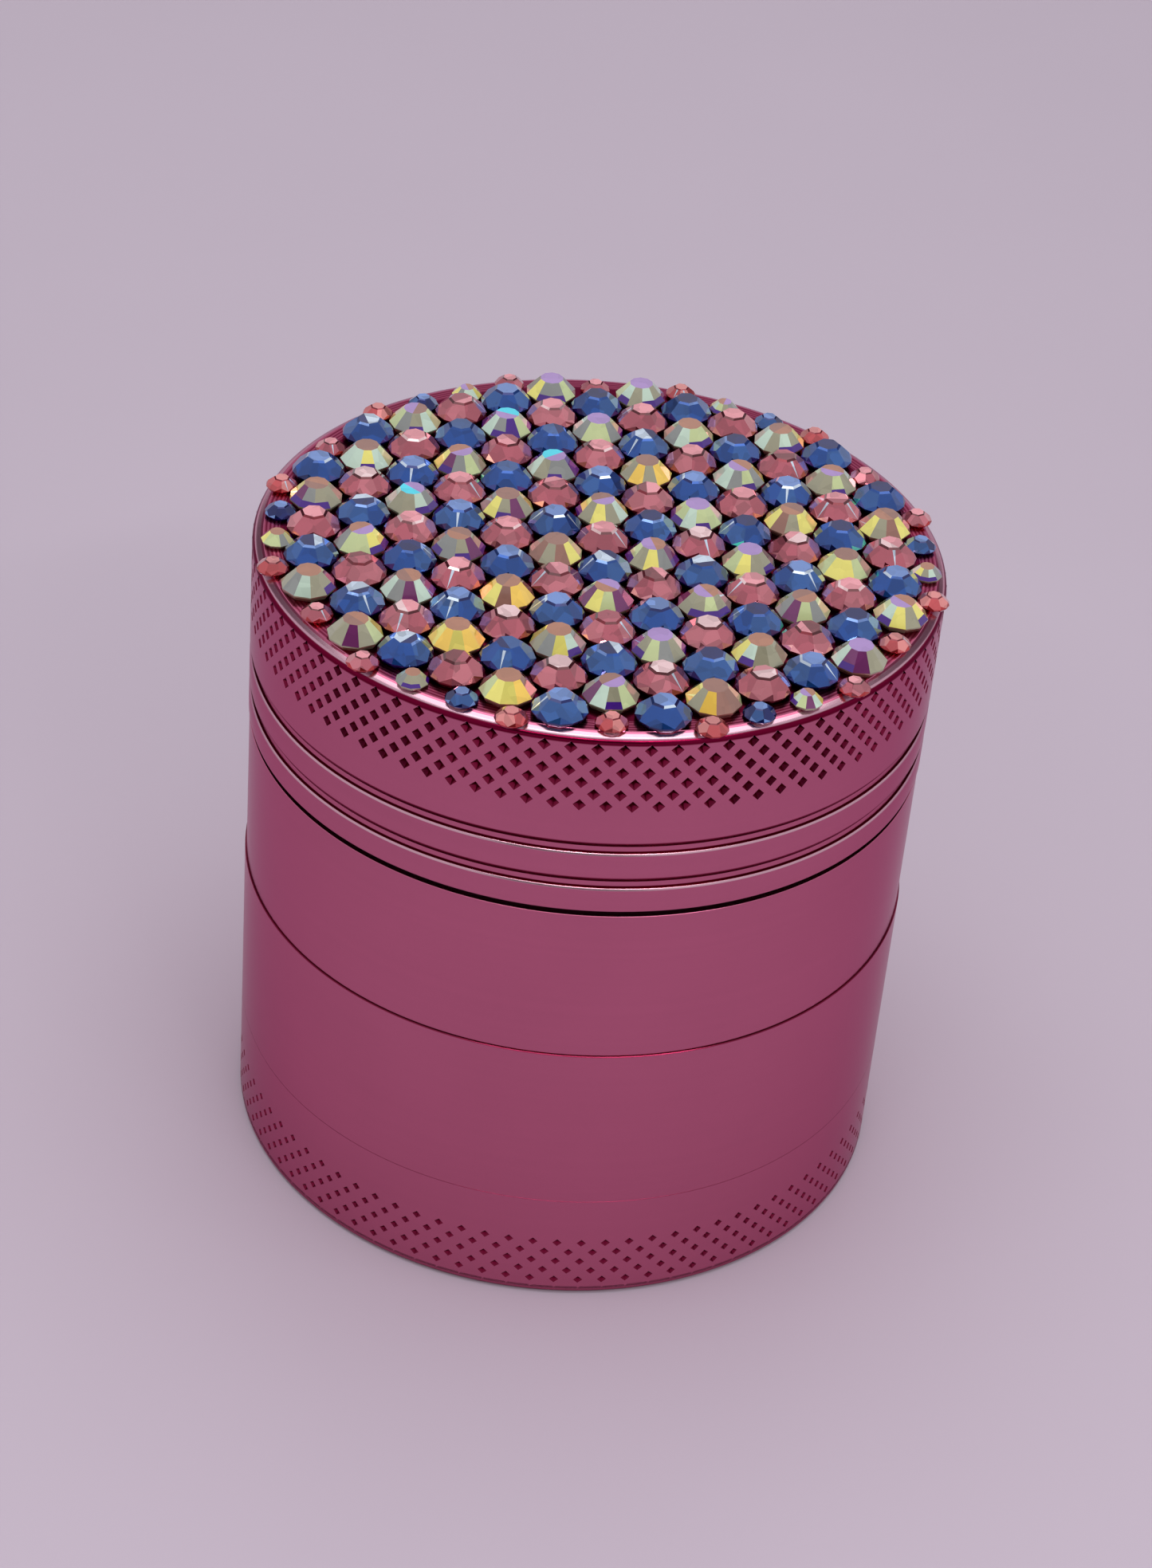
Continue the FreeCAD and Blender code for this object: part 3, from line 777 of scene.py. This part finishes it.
class Stones(Shape):
    """Stones gathered into one mesh. Each facet has a tint, and the back is foil."""

    def __init__(self):
        super().__init__()
        self.tints = []
        self.is_foil = []

    def facet(self, corners, tint, foil=False):
        self.faces.append(corners)
        self.tints.append(tint)
        self.is_foil.append(foil)

    def circle(self, place, level, count):
        """Corners round a stone at a level, which is a share of its radius and a share of its height."""
        x, y, foot, radius, height, turn = place
        share, rise = level
        found = []
        for step in range(count):
            angle = math.radians(turn + 360.0 * step / count)
            found.append(self.corner(x + share * radius * math.cos(angle),
                                     y + share * radius * math.sin(angle), foot + rise * height))
        return found

    def belt(self, low, high, pick, kind):
        for step in range(len(low)):
            after = (step + 1) % len(low)
            self.facet([low[step], low[after], high[after], high[step]], pick(kind))

    def base(self, place, back_level, count, pick):
        """The foil back and the girdle above it. Returns the girdle's upper corners."""
        back = self.circle(place, back_level, count)
        under = self.circle(place, GIRDLE_LOW, count)
        girdle = self.circle(place, GIRDLE_HIGH, count)
        self.facet(back[::-1], pick("foil"), foil=True)
        self.belt(back, under, pick, "girdle")
        self.belt(under, girdle, pick, "girdle")
        return girdle

    def table(self, corners, pick):
        """The flat on top, in two halves with tints of their own, a painted reflection of the foil below."""
        half = len(corners) // 2
        self.facet(corners[:half + 1], pick("table"))
        self.facet(corners[half:] + corners[:1], pick("table"))


print("girdle of a stone, as shares of its height:", GIRDLE_LOW[1], GIRDLE_HIGH[1])

# %% The cut of the coloured stones
MIXED_BACK, MIXED_WAIST, MIXED_COLLAR, MIXED_TABLE = (0.88, 0.0), (0.88, 0.523), (0.52, 0.92), (0.43, 1.0)
MIXED_SIDES = 7
STREAK_START, STREAK_END = 0.36, 0.6


def facet_with_glint(shape, corners, pick):
    """A main facet. In some of them a thin bright streak is a painted glint."""
    first, second, right, foot, left = corners
    tint = pick("main")
    streak = pick("streak")
    if streak is None:
        shape.facet(corners, tint)
        return
    start, end = Vector(shape.corners[first]) / MM, Vector(shape.corners[second]) / MM
    near, far = (shape.corner(*start.lerp(end, share)) for share in (STREAK_START, STREAK_END))
    shape.facet([first, near, foot, left], tint)
    shape.facet([near, far, foot], streak)
    shape.facet([far, second, right, foot], tint)


def mixed_cut(shape, place, pick):
    """Table, collar, main facets and pairs of girdle facets over a foil back."""
    girdle = shape.base(place, MIXED_BACK, 2 * MIXED_SIDES, pick)
    waist, collar, table = (shape.circle(place, level, MIXED_SIDES)
                            for level in (MIXED_WAIST, MIXED_COLLAR, MIXED_TABLE))
    for step in range(MIXED_SIDES):
        after = (step + 1) % MIXED_SIDES
        here, mid, before = 2 * step, 2 * step + 1, 2 * step - 1
        facet_with_glint(shape, [collar[step], collar[after], waist[after], girdle[mid], waist[step]], pick)
        shape.facet([waist[step], girdle[here], girdle[mid]], pick("edge"))
        shape.facet([waist[step], girdle[before], girdle[here]], pick("edge"))
    shape.belt(collar, table, pick, "collar")
    shape.table(table, pick)


# %% The cut of the clear stones
CONE_BACK, CONE_BREAK, CONE_TABLE = (0.9, 0.0), (0.82, 0.517), (0.46, 1.0)
CONE_SIDES = 10


def cone_cut(shape, place, pick):
    """A small table and long facets over a foil back. Some facets show another colour at their foot."""
    girdle = shape.base(place, CONE_BACK, CONE_SIDES, pick)
    low_break, table = (shape.circle(place, level, CONE_SIDES) for level in (CONE_BREAK, CONE_TABLE))
    for step in range(CONE_SIDES):
        after = (step + 1) % CONE_SIDES
        tint = pick("main")
        foot = pick("edge") or tint
        shape.facet([girdle[step], girdle[after], low_break[after], low_break[step]], foot)
        shape.facet([low_break[step], low_break[after], table[after], table[step]], tint)
    shape.table(table, pick)


for cut in (mixed_cut, cone_cut):
    sample = Stones()
    cut(sample, (0.0, 0.0, 0.0, 1.0, 1.0, 0.0), lambda facet: None)
    print(cut.__name__, "facets:", len(sample.faces))

# %% [markdown]
# ## Tints
#
# Each kind of stone has one or more moods, and a mood has a short list of tints for every kind of facet. A
# seeded draw picks the mood of a stone and then its tints, so the same stones come out each time. The rose
# stones are nearly even, the blue ones have dark girdles of painted shade and pale tables, and the clear
# ones flash pale green, yellow, gold and now and then a deep violet. Pale ice, pale pink and cyan facets
# are painted glints. A picture of the tints wrapped over the lid would be the other way, but then a colour
# would not stop at a facet's edge.

# %% Tints by name
BLUE, STEEL_BLUE, NAVY = chart(26, 75, 150), chart(50, 93, 156), chart(16, 30, 96)
INDIGO, PALE_BLUE = chart(18, 12, 108), chart(114, 148, 210)
ICE, TEAL = chart(205, 222, 238), chart(60, 205, 185)
ROSE, DUSTY, BRICK, WINE = chart(181, 93, 106), chart(197, 115, 125), chart(120, 26, 40), chart(84, 12, 24)
PINK, CORAL, SALMON, RED = chart(244, 160, 168), chart(200, 84, 88), chart(224, 140, 136), chart(176, 38, 42)
PALE_PINK, ROSEWOOD = chart(252, 214, 214), chart(132, 66, 72)
LIME, YELLOW, MINT = chart(196, 210, 152), chart(238, 230, 120), chart(196, 220, 200)
OLIVE, GREY, GOLD = chart(156, 154, 128), chart(138, 142, 138), chart(250, 208, 90)
AMBER, BROWN, VIOLET = chart(172, 118, 92), chart(148, 106, 92), chart(66, 16, 128)
PLUM, LILAC = chart(112, 44, 98), chart(166, 134, 194)
CYAN, FOIL = chart(60, 220, 240), chart(225, 230, 225)
GREENISH = [LIME, YELLOW, MINT, OLIVE, OLIVE, GREY, LIME, LIME, MINT, GREY, OLIVE, YELLOW, PLUM]
PLAIN_FACETS_TO_A_STREAK = 9
print("greenish tints:", len(GREENISH), "of which different:", len(set(GREENISH)))


# %% Moods
def mood(table, collar, main, edge, girdle):
    return {"table": table, "collar": collar, "main": main, "edge": edge, "girdle": girdle,
            "streak": [ICE] + PLAIN_FACETS_TO_A_STREAK * [None], "foil": [FOIL]}


# Ice, pale pink and cyan facets are painted glints, and navy, indigo, wine, brick and rosewood facets at
# girdles, collars and tables are painted shade.
MOODS = {
    "large_blue": [
        mood([PALE_BLUE], [NAVY, BLUE, ICE], [BLUE, BLUE, STEEL_BLUE], [NAVY, BLUE, BLUE, STEEL_BLUE],
             [NAVY]),
        mood([NAVY, ICE], [BLUE, PALE_BLUE], [BLUE, STEEL_BLUE], [NAVY, INDIGO, BLUE, BLUE], [INDIGO]),
        mood([STEEL_BLUE, NAVY], [BLUE], [BLUE, BLUE, STEEL_BLUE], [NAVY, INDIGO, BLUE, BLUE, TEAL], [NAVY]),
    ],
    "large_rose": [
        mood([PINK], [WINE, WINE, PALE_PINK], [ROSE, ROSE, DUSTY], [BRICK, ROSE, ROSE], [BRICK]),
        mood([PALE_PINK, PINK], [WINE], [ROSE, DUSTY], [BRICK, ROSE, ROSE, DUSTY], [WINE]),
        mood([ROSEWOOD, PINK, ROSE], [WINE, BRICK], [ROSE, ROSE, DUSTY], [BRICK, ROSE, ROSE, PINK], [BRICK]),
    ],
    "large_crystal": 3 * [
        mood([AMBER, LILAC], [LILAC], GREENISH, [None, None, None, VIOLET], [OLIVE, BROWN]),
        mood([BROWN, AMBER, LILAC], [BROWN], GREENISH, [None, None, None, None, VIOLET], [OLIVE, BROWN]),
    ] + [
        mood([AMBER, BROWN], [AMBER], [GOLD, BROWN, OLIVE, YELLOW, YELLOW, LIME], [None], [BROWN]),
        mood([CYAN, LILAC, LILAC], [LILAC], [MINT, OLIVE, GREY, LIME, MINT, VIOLET],
             [None, None, VIOLET], [OLIVE]),
    ],
    "small_blue": [mood([PALE_BLUE], [NAVY], [STEEL_BLUE, NAVY], [NAVY, PALE_BLUE], [INDIGO])],
    "small_rose": [
        mood([SALMON], [BRICK], [CORAL, CORAL, SALMON], [CORAL, RED], [RED]),
        mood([PINK], [WINE], [DUSTY, ROSE], [RED, ROSE], [RED]),
    ],
    "small_crystal": [mood([LILAC, AMBER], [LILAC], GREENISH, [None, None, VIOLET], [OLIVE])],
}
print("moods:", {kind: len(moods) for kind, moods in MOODS.items()})

# %% Drawing and cutting the stones
SEED = 7
draw = random.Random(SEED)
for node, places in stones.items():
    kind = node.replace("_stones", "")
    cut = cone_cut if "crystal" in kind else mixed_cut
    shape = Stones()
    for place in places:
        tints = draw.choice(MOODS[kind])
        cut(shape, place, lambda facet: draw.choice(tints[facet]))
    piece = shape.piece(node + "_cut", "lid", node, sharp=1.0)
    tint = piece.data.attributes.new("tint", "FLOAT_COLOR", "FACE")
    tint.data.foreach_set("color", [part for colour in shape.tints for part in colour])
    piece.data.polygons.foreach_set("material_index", [int(foil) for foil in shape.is_foil])
    kind.split("_")[1] + "_glass"

# %% [markdown]
# ## Pink anodised aluminium
#
# Anodising leaves a clear dyed skin on the metal, so the colour sits in the reflection itself: it is a
# coloured metal with soft gloss, not a paint. The lathe leaves rings that are finer than a hair. They are
# noise that depends only on the height plus the distance from the axis, so the same sum gives rings on a
# wall and on a face. The corners' levels mix in a darker pink, which is painted shade, in the pits of the
# knurling, in the corners of the grooves and the rim, on the lips of the seams and at the foot, and a paler
# metal, which is a painted highlight, on the chamfers of the grooves. The lid's top is paler at its rim,
# partly a burnished edge and partly a painted highlight, and darker with painted shade under the stones. A
# picture painted on the wall would do as well, but sums of places need no unwrapping.

# %% Colours of the metal
PINK_METAL = (0.565, 0.148, 0.254, 1.0)
# The deep pink below is painted shade, the pale pink is partly a burnished edge and partly a painted
# highlight, and the near black is painted shade under the stones.
SHADE_PINK = chart(112, 8, 46)
BURNISH_AND_HIGHLIGHT = (0.64, 0.38, 0.46, 1.0)
SHADE_UNDER_STONES = (0.05, 0.006, 0.014, 1.0)
EDGE_TINT = (0.80, 0.58, 0.68, 1.0)
PATCH_SHADE, METAL_GLOSS = 0.86, 0.22


def shaded(colour, share):
    return (*(share * part for part in colour[:3]), 1.0)


print("the darker patches of the pink:", [round(part, 3) for part in shaded(PINK_METAL, PATCH_SHADE)])

# %% The lid's top face
# The painted shade under the stones reaches out to this radius.
SHADED_RADIUS = 23.0
BEVEL_FOOT, TOP_FOOT, RINGS_EDGE = 0.3, 0.2, 0.6


def is_over(finish, value, limit):
    return finish.node("ShaderNodeMath", {"operation": "GREATER_THAN"}, {0: value, 1: limit * MM})


def is_under(finish, value, limit):
    return finish.node("ShaderNodeMath", {"operation": "LESS_THAN"}, {0: value, 1: limit * MM})


def bright_bevel_and_shade(finish, skin, height, out):
    """The bevel is paler, partly burnished and partly a painted highlight, the rings inside it are plain
    again, and under the stones lies painted shade.
    """
    on_top = is_over(finish, height, LID_TOP - TOP_FOOT)
    skin = finish.mix(is_over(finish, height, LID_TOP - BEVEL_FOOT), skin, BURNISH_AND_HIGHLIGHT)
    skin = finish.mix(on_top * is_under(finish, out, LID_RADIUS - RINGS_EDGE), skin, PINK_METAL)
    return finish.mix(on_top * is_under(finish, out, SHADED_RADIUS), skin, SHADE_UNDER_STONES)


print("painted_shade reaches out to a radius of", SHADED_RADIUS, "mm")


# %% The metal
def anodised(name, has_stones=False):
    finish = Finish(name)
    place = finish.node("ShaderNodeTexCoord", output="Object")
    height = finish.node("ShaderNodeSeparateXYZ", {}, {0: place}, output="Z")
    flat = finish.node("ShaderNodeVectorMath", {"operation": "MULTIPLY"}, {0: place, 1: (1.0, 1.0, 0.0)})
    out = finish.node("ShaderNodeVectorMath", {"operation": "LENGTH"}, {0: flat}, output="Value")
    ringed = height + out
    fine = finish.node("ShaderNodeTexNoise", {"noise_dimensions": "1D"},
                       {"W": ringed, "Scale": 9000.0, "Detail": 3.0, "Roughness": 0.7})
    broad = finish.node("ShaderNodeTexNoise", {"noise_dimensions": "1D"},
                        {"W": ringed, "Scale": 1400.0, "Detail": 2.0, "Roughness": 0.5})
    clouds = finish.node("ShaderNodeTexNoise", {}, {"Vector": place, "Scale": 120.0, "Detail": 4.0})
    speckle = finish.node("ShaderNodeTexNoise", {}, {"Vector": place, "Scale": 5200.0, "Detail": 2.0})
    patches = 0.6 * clouds + 0.25 * broad + 0.25 * (speckle - 0.5)
    skin = finish.mix(patches, shaded(PINK_METAL, PATCH_SHADE), PINK_METAL)
    if has_stones:
        skin = bright_bevel_and_shade(finish, skin, height, out)
    # The corners' levels mix in painted shade, and below 0 a painted highlight.
    depth = finish.node("ShaderNodeAttribute", {"attribute_name": "depth"}, output="Fac")
    skin = finish.mix(depth, skin, SHADE_PINK)
    skin = finish.mix(-1.0 * depth, skin, BURNISH_AND_HIGHLIGHT)
    lines = finish.node("ShaderNodeBump", {},
                        {"Height": fine + broad, "Strength": 0.25, "Distance": 0.006 * MM})
    return finish.set(Base_Color=skin, Metallic=1.0, Roughness=METAL_GLOSS + 0.10 * (fine - 0.5),
                      Normal=lines, Specular_Tint=EDGE_TINT)


# %% Dressing the cups
lid_metal = anodised("lid anodised", has_stones=True)
cup_metal = anodised("cup anodised")
catcher_metal = anodised("catcher anodised")
for piece, metal, slot in ((lid_shell, lid_metal, "lid_anodised"),
                           (catcher_shell, catcher_metal, "catcher_anodised"),
                           (storage_shell, cup_metal, "cup_anodised"),
                           (chamber_shell, cup_metal, "cup_anodised")):
    piece.data.materials.append(metal)
    print(piece.name, "wears", metal.name, "with nodes:", len(metal.node_tree.nodes))

# %% [markdown]
# ## Foiled glass
#
# The foil sends the light straight back through the tinted glass, so a foiled stone looks like coloured
# metal under a clear hard skin. That is how it is made here: a metallic base in the facet's tint, with a
# glossy coat over it. Small cells inside each facet are lighter or darker, a painted reflection of the
# facets on the far side. Real refraction would also do, but in stones this small it blurs the facets.


# %% Glass over foil
def foiled(name, play, metallic):
    """The play is how much the cells of painted reflection inside differ, and the rest of what isn't metallic
    scatters the tint.
    """
    finish = Finish(name)
    place = finish.node("ShaderNodeTexCoord", output="Object")
    cells = finish.node("ShaderNodeTexVoronoi", {}, {"Vector": place, "Scale": 1100.0}, output="Color")
    light = finish.node("ShaderNodeSeparateColor", {}, {0: cells}, output=0)
    tint = finish.node("ShaderNodeAttribute", {"attribute_name": "tint"}, output="Color")
    scaled = finish.node("ShaderNodeVectorMath", {"operation": "SCALE"},
                         {0: tint, "Scale": (1.0 - 0.5 * play) + play * light})
    return finish.set(Base_Color=scaled, Metallic=metallic, Roughness=0.1, Coat_Weight=1.0, Coat_IOR=1.45)


def foil_back(name):
    finish = Finish(name)
    tint = finish.node("ShaderNodeAttribute", {"attribute_name": "tint"}, output="Color")
    return finish.set(Base_Color=tint, Metallic=1.0, Roughness=0.3)


CLEAR, COLOURED = (0.15, 0.35), (0.5, 0.7)
for node in STONE_NODES:
    piece = bpy.data.objects[node + "_cut"]
    play, metallic = CLEAR if "crystal" in node else COLOURED
    piece.data.materials.append(foiled(node + " glass", play, metallic))
    piece.data.materials.append(foil_back(node + " foil"))
    print(piece.name, "play", play, "metallic", metallic)

# %% [markdown]
# ## The small pieces
#
# The solid model's own meshes are fine enough for the screen, its ring, the magnets and the friction ring.
# They only need better finishes: woven steel wire, drawn spring steel, bright nickel and black nylon. The
# screen's wires could be meshes, but there are thousands of them and they are as thin as hair, so sines
# draw them in the material.


# %% Woven steel
WIRE_PITCH = 0.25
BETWEEN_WIRES, WIRE = (0.02, 0.02, 0.02, 1.0), (0.62, 0.62, 0.64, 1.0)


def woven_steel(name):
    """Two sets of wires, over and under each other, from sines of X and Y."""
    finish = Finish(name)
    place = finish.node("ShaderNodeTexCoord", output="Object")
    apart = finish.node("ShaderNodeSeparateXYZ", {}, {0: place}, output="X")
    rate = 2 * math.pi / (WIRE_PITCH * MM)
    wave_x = finish.node("ShaderNodeMath", {"operation": "SINE"}, {0: rate * apart})
    wave_y = finish.node("ShaderNodeMath", {"operation": "SINE"}, {0: rate * apart.out("Y")})
    weave = finish.node("ShaderNodeMath", {"operation": "MAXIMUM"}, {0: wave_x, 1: wave_y})
    wire = finish.mix(0.5 + 0.5 * weave, BETWEEN_WIRES, WIRE)
    lines = finish.node("ShaderNodeBump", {}, {"Height": weave, "Strength": 0.8, "Distance": 0.05 * MM})
    return finish.set(Base_Color=wire, Metallic=1.0, Roughness=0.32, Normal=lines)


print("wires per millimetre:", 1 / WIRE_PITCH)

# %% Spring steel, nickel and nylon
SPRING_STEEL, NICKEL = (0.5, 0.5, 0.52, 1.0), (0.66, 0.62, 0.55, 1.0)
NYLON_DARK, NYLON_PALE = (0.012, 0.012, 0.013, 1.0), (0.03, 0.03, 0.032, 1.0)


def plain_metal(name, colour, gloss, grain):
    finish = Finish(name)
    place = finish.node("ShaderNodeTexCoord", output="Object")
    noise = finish.node("ShaderNodeTexNoise", {}, {"Vector": place, "Scale": grain, "Detail": 4.0})
    return finish.set(Base_Color=finish.mix(noise, shaded(colour, 0.8), colour), Metallic=1.0,
                      Roughness=gloss + 0.15 * (noise - 0.5))


def nylon(name):
    finish = Finish(name)
    place = finish.node("ShaderNodeTexCoord", output="Object")
    noise = finish.node("ShaderNodeTexNoise", {}, {"Vector": place, "Scale": 2500.0, "Detail": 3.0})
    skin = finish.mix(noise, NYLON_DARK, NYLON_PALE)
    bumps = finish.node("ShaderNodeBump", {}, {"Height": noise, "Strength": 0.3, "Distance": 0.02 * MM})
    return finish.set(Base_Color=skin, Roughness=0.4 + 0.2 * noise, Normal=bumps)


small_finishes = {
    "screen": woven_steel("woven steel"),
    "screen_snap_ring": plain_metal("spring steel", SPRING_STEEL, gloss=0.3, grain=4000.0),
    "chamber_magnet": plain_metal("bright nickel", NICKEL, gloss=0.18, grain=2500.0),
    "friction_ring": nylon("black nylon"),
}
small_finishes["lid_magnet"] = small_finishes["chamber_magnet"]
for node, material in small_finishes.items():
    nodes[node].data.materials.clear()
    nodes[node].data.materials.append(material)
print("small pieces:", {node: material.name for node, material in small_finishes.items()})

# %% [markdown]
# ## Table top and light
#
# The grinder stands on a pale matt table under a soft overcast light. One large box overhead gives the
# bright line round the lid's bevel, and three tubes in front light the chamfers of the grooves. The rest of
# the light comes from all round, which keeps the turned walls very even. Dark cards, which the camera
# doesn't see, stand where the shiny walls mirror them, and hold the pink down to the depth of dyed metal. A
# darker dye would do that too, but then the metal would look black under another light.

# %% The table top
TABLE_DARK, TABLE_PALE = (0.475, 0.408, 0.482, 1.0), (0.503, 0.432, 0.510, 1.0)
TABLE_SIZE, TABLE_DROP = 6.0, 0.00002


def floor_material():
    finish = Finish("pale table")
    place = finish.node("ShaderNodeTexCoord", output="Object")
    noise = finish.node("ShaderNodeTexNoise", {}, {"Vector": place, "Scale": 14.0, "Detail": 3.0})
    return finish.set(Base_Color=finish.mix(noise, TABLE_DARK, TABLE_PALE), Roughness=0.7)


bpy.ops.mesh.primitive_plane_add(size=TABLE_SIZE, location=(0, 0, -TABLE_DROP))
floor = bpy.context.active_object
floor.name = "table_top"
floor.data.materials.append(floor_material())
print("table top:", TABLE_SIZE, "m across")

# %% Lamps
MIDDLE = Vector((0, 0, 0.04))


def toward(azimuth, elevation):
    """The direction from the object's middle. Azimuth 0 is in front, and 90 is to the right."""
    around, above = math.radians(azimuth), math.radians(elevation)
    return Vector((math.sin(around) * math.cos(above), -math.cos(around) * math.cos(above), math.sin(above)))


def window(name, azimuth, elevation, distance, width, height, power):
    """A soft box that looks at the middle of the object."""
    way = toward(azimuth, elevation)
    data = bpy.data.lights.new(name, "AREA")
    data.shape = "RECTANGLE"
    data.size, data.size_y = width, height
    data.energy = power
    made = bpy.data.objects.new(name, data)
    bpy.context.scene.collection.objects.link(made)
    made.location = MIDDLE + distance * way
    made.rotation_euler = way.to_track_quat("Z", "Y").to_euler()
    made.visible_camera = False
    print(name, "at", [round(part, 3) for part in made.location], "with", power, "W")


window("overhead box", 180, 80, distance=0.7, width=0.72, height=0.72, power=2.2)
window("ceiling lamp", 0, 87, distance=0.7, width=0.5, height=0.05, power=0.3)
for azimuth, elevation in ((-12, 41.5), (12, 41.5), (34, 40.0)):
    window(f"front tube {azimuth}", azimuth, elevation, distance=0.38, width=0.16, height=0.014, power=0.15)

# %% Dark cards
BLACK_CLOTH = Finish("black cloth").set(Base_Color=(0.03, 0.025, 0.03, 1.0), Roughness=0.9)
DIM_CLOTH = Finish("dim cloth").set(Base_Color=(0.20, 0.13, 0.16, 1.0), Roughness=0.9)


def dark_card(name, azimuth, elevation, distance, width, height, cloth):
    """A dark sheet that the metal mirrors."""
    way = toward(azimuth, elevation)
    bpy.ops.mesh.primitive_plane_add(size=1.0, location=MIDDLE + distance * way,
                                     rotation=way.to_track_quat("Z", "Y").to_euler())
    card = bpy.context.active_object
    card.name = name
    card.scale = (width, height, 1.0)
    card.visible_camera = False
    card.data.materials.append(cloth)
    print(name, "at", [round(part, 3) for part in card.location], "of", cloth.name)


dark_card("dark_coat", 0, 33, distance=0.42, width=0.34, height=0.28, cloth=BLACK_CLOTH)
for azimuth in (-143, 143):
    dark_card(f"dim_shelf_{azimuth}", azimuth, 33, distance=0.7, width=0.35, height=0.45, cloth=DIM_CLOTH)

# %% The light from all round
SKY, SKY_STRENGTH = (0.93, 0.90, 0.95, 1.0), 0.72
world = bpy.data.worlds.new("overcast")
world.use_nodes = True
background = world.node_tree.nodes["Background"]
background.inputs["Color"].default_value = SKY
background.inputs["Strength"].default_value = SKY_STRENGTH
bpy.context.scene.world = world
print("light from all round:", SKY_STRENGTH)

# %% [markdown]
# ## The camera
#
# The camera stands a forearm's length away and looks down at about 35 degrees, turned slightly on its own
# axis as a hand-held one is. Its place and its three axes are written out, because a look-at constraint
# could not hold the slight roll.

# %% Camera
PITCH, YAW, ROLL = 0.610279, -0.0012219, 0.0901489
LENS, SENSOR = 76.05, 36.0
EYE = (0, -0.204855, 0.1719)
ahead = Vector((math.sin(YAW) * math.cos(PITCH), math.cos(YAW) * math.cos(PITCH), -math.sin(PITCH)))
right = ahead.cross(Vector((0, 0, 1))).normalized()
above = right.cross(ahead)
across = math.cos(ROLL) * right + math.sin(ROLL) * above
upward = math.cos(ROLL) * above - math.sin(ROLL) * right
camera_data = bpy.data.cameras.new("camera")
camera_data.lens = LENS
camera_data.sensor_width = SENSOR
camera_data.clip_start = 0.01
camera = bpy.data.objects.new("camera", camera_data)
bpy.context.scene.collection.objects.link(camera)
camera.matrix_world = Matrix((across, upward, -ahead)).transposed().to_4x4()
camera.location = EYE
bpy.context.scene.camera = camera
bpy.context.scene.view_settings.view_transform = "Standard"
print("camera", round((Vector(EYE) - MIDDLE).length, 3), "m from the middle, looking down",
      round(math.degrees(PITCH), 1), "degrees")

# %% [markdown]
# ## The last step
#
# The finer meshes must not stand out of the solid model's box. Last, the view layer is brought up to date.

# %% Finish
bpy.context.view_layer.update()
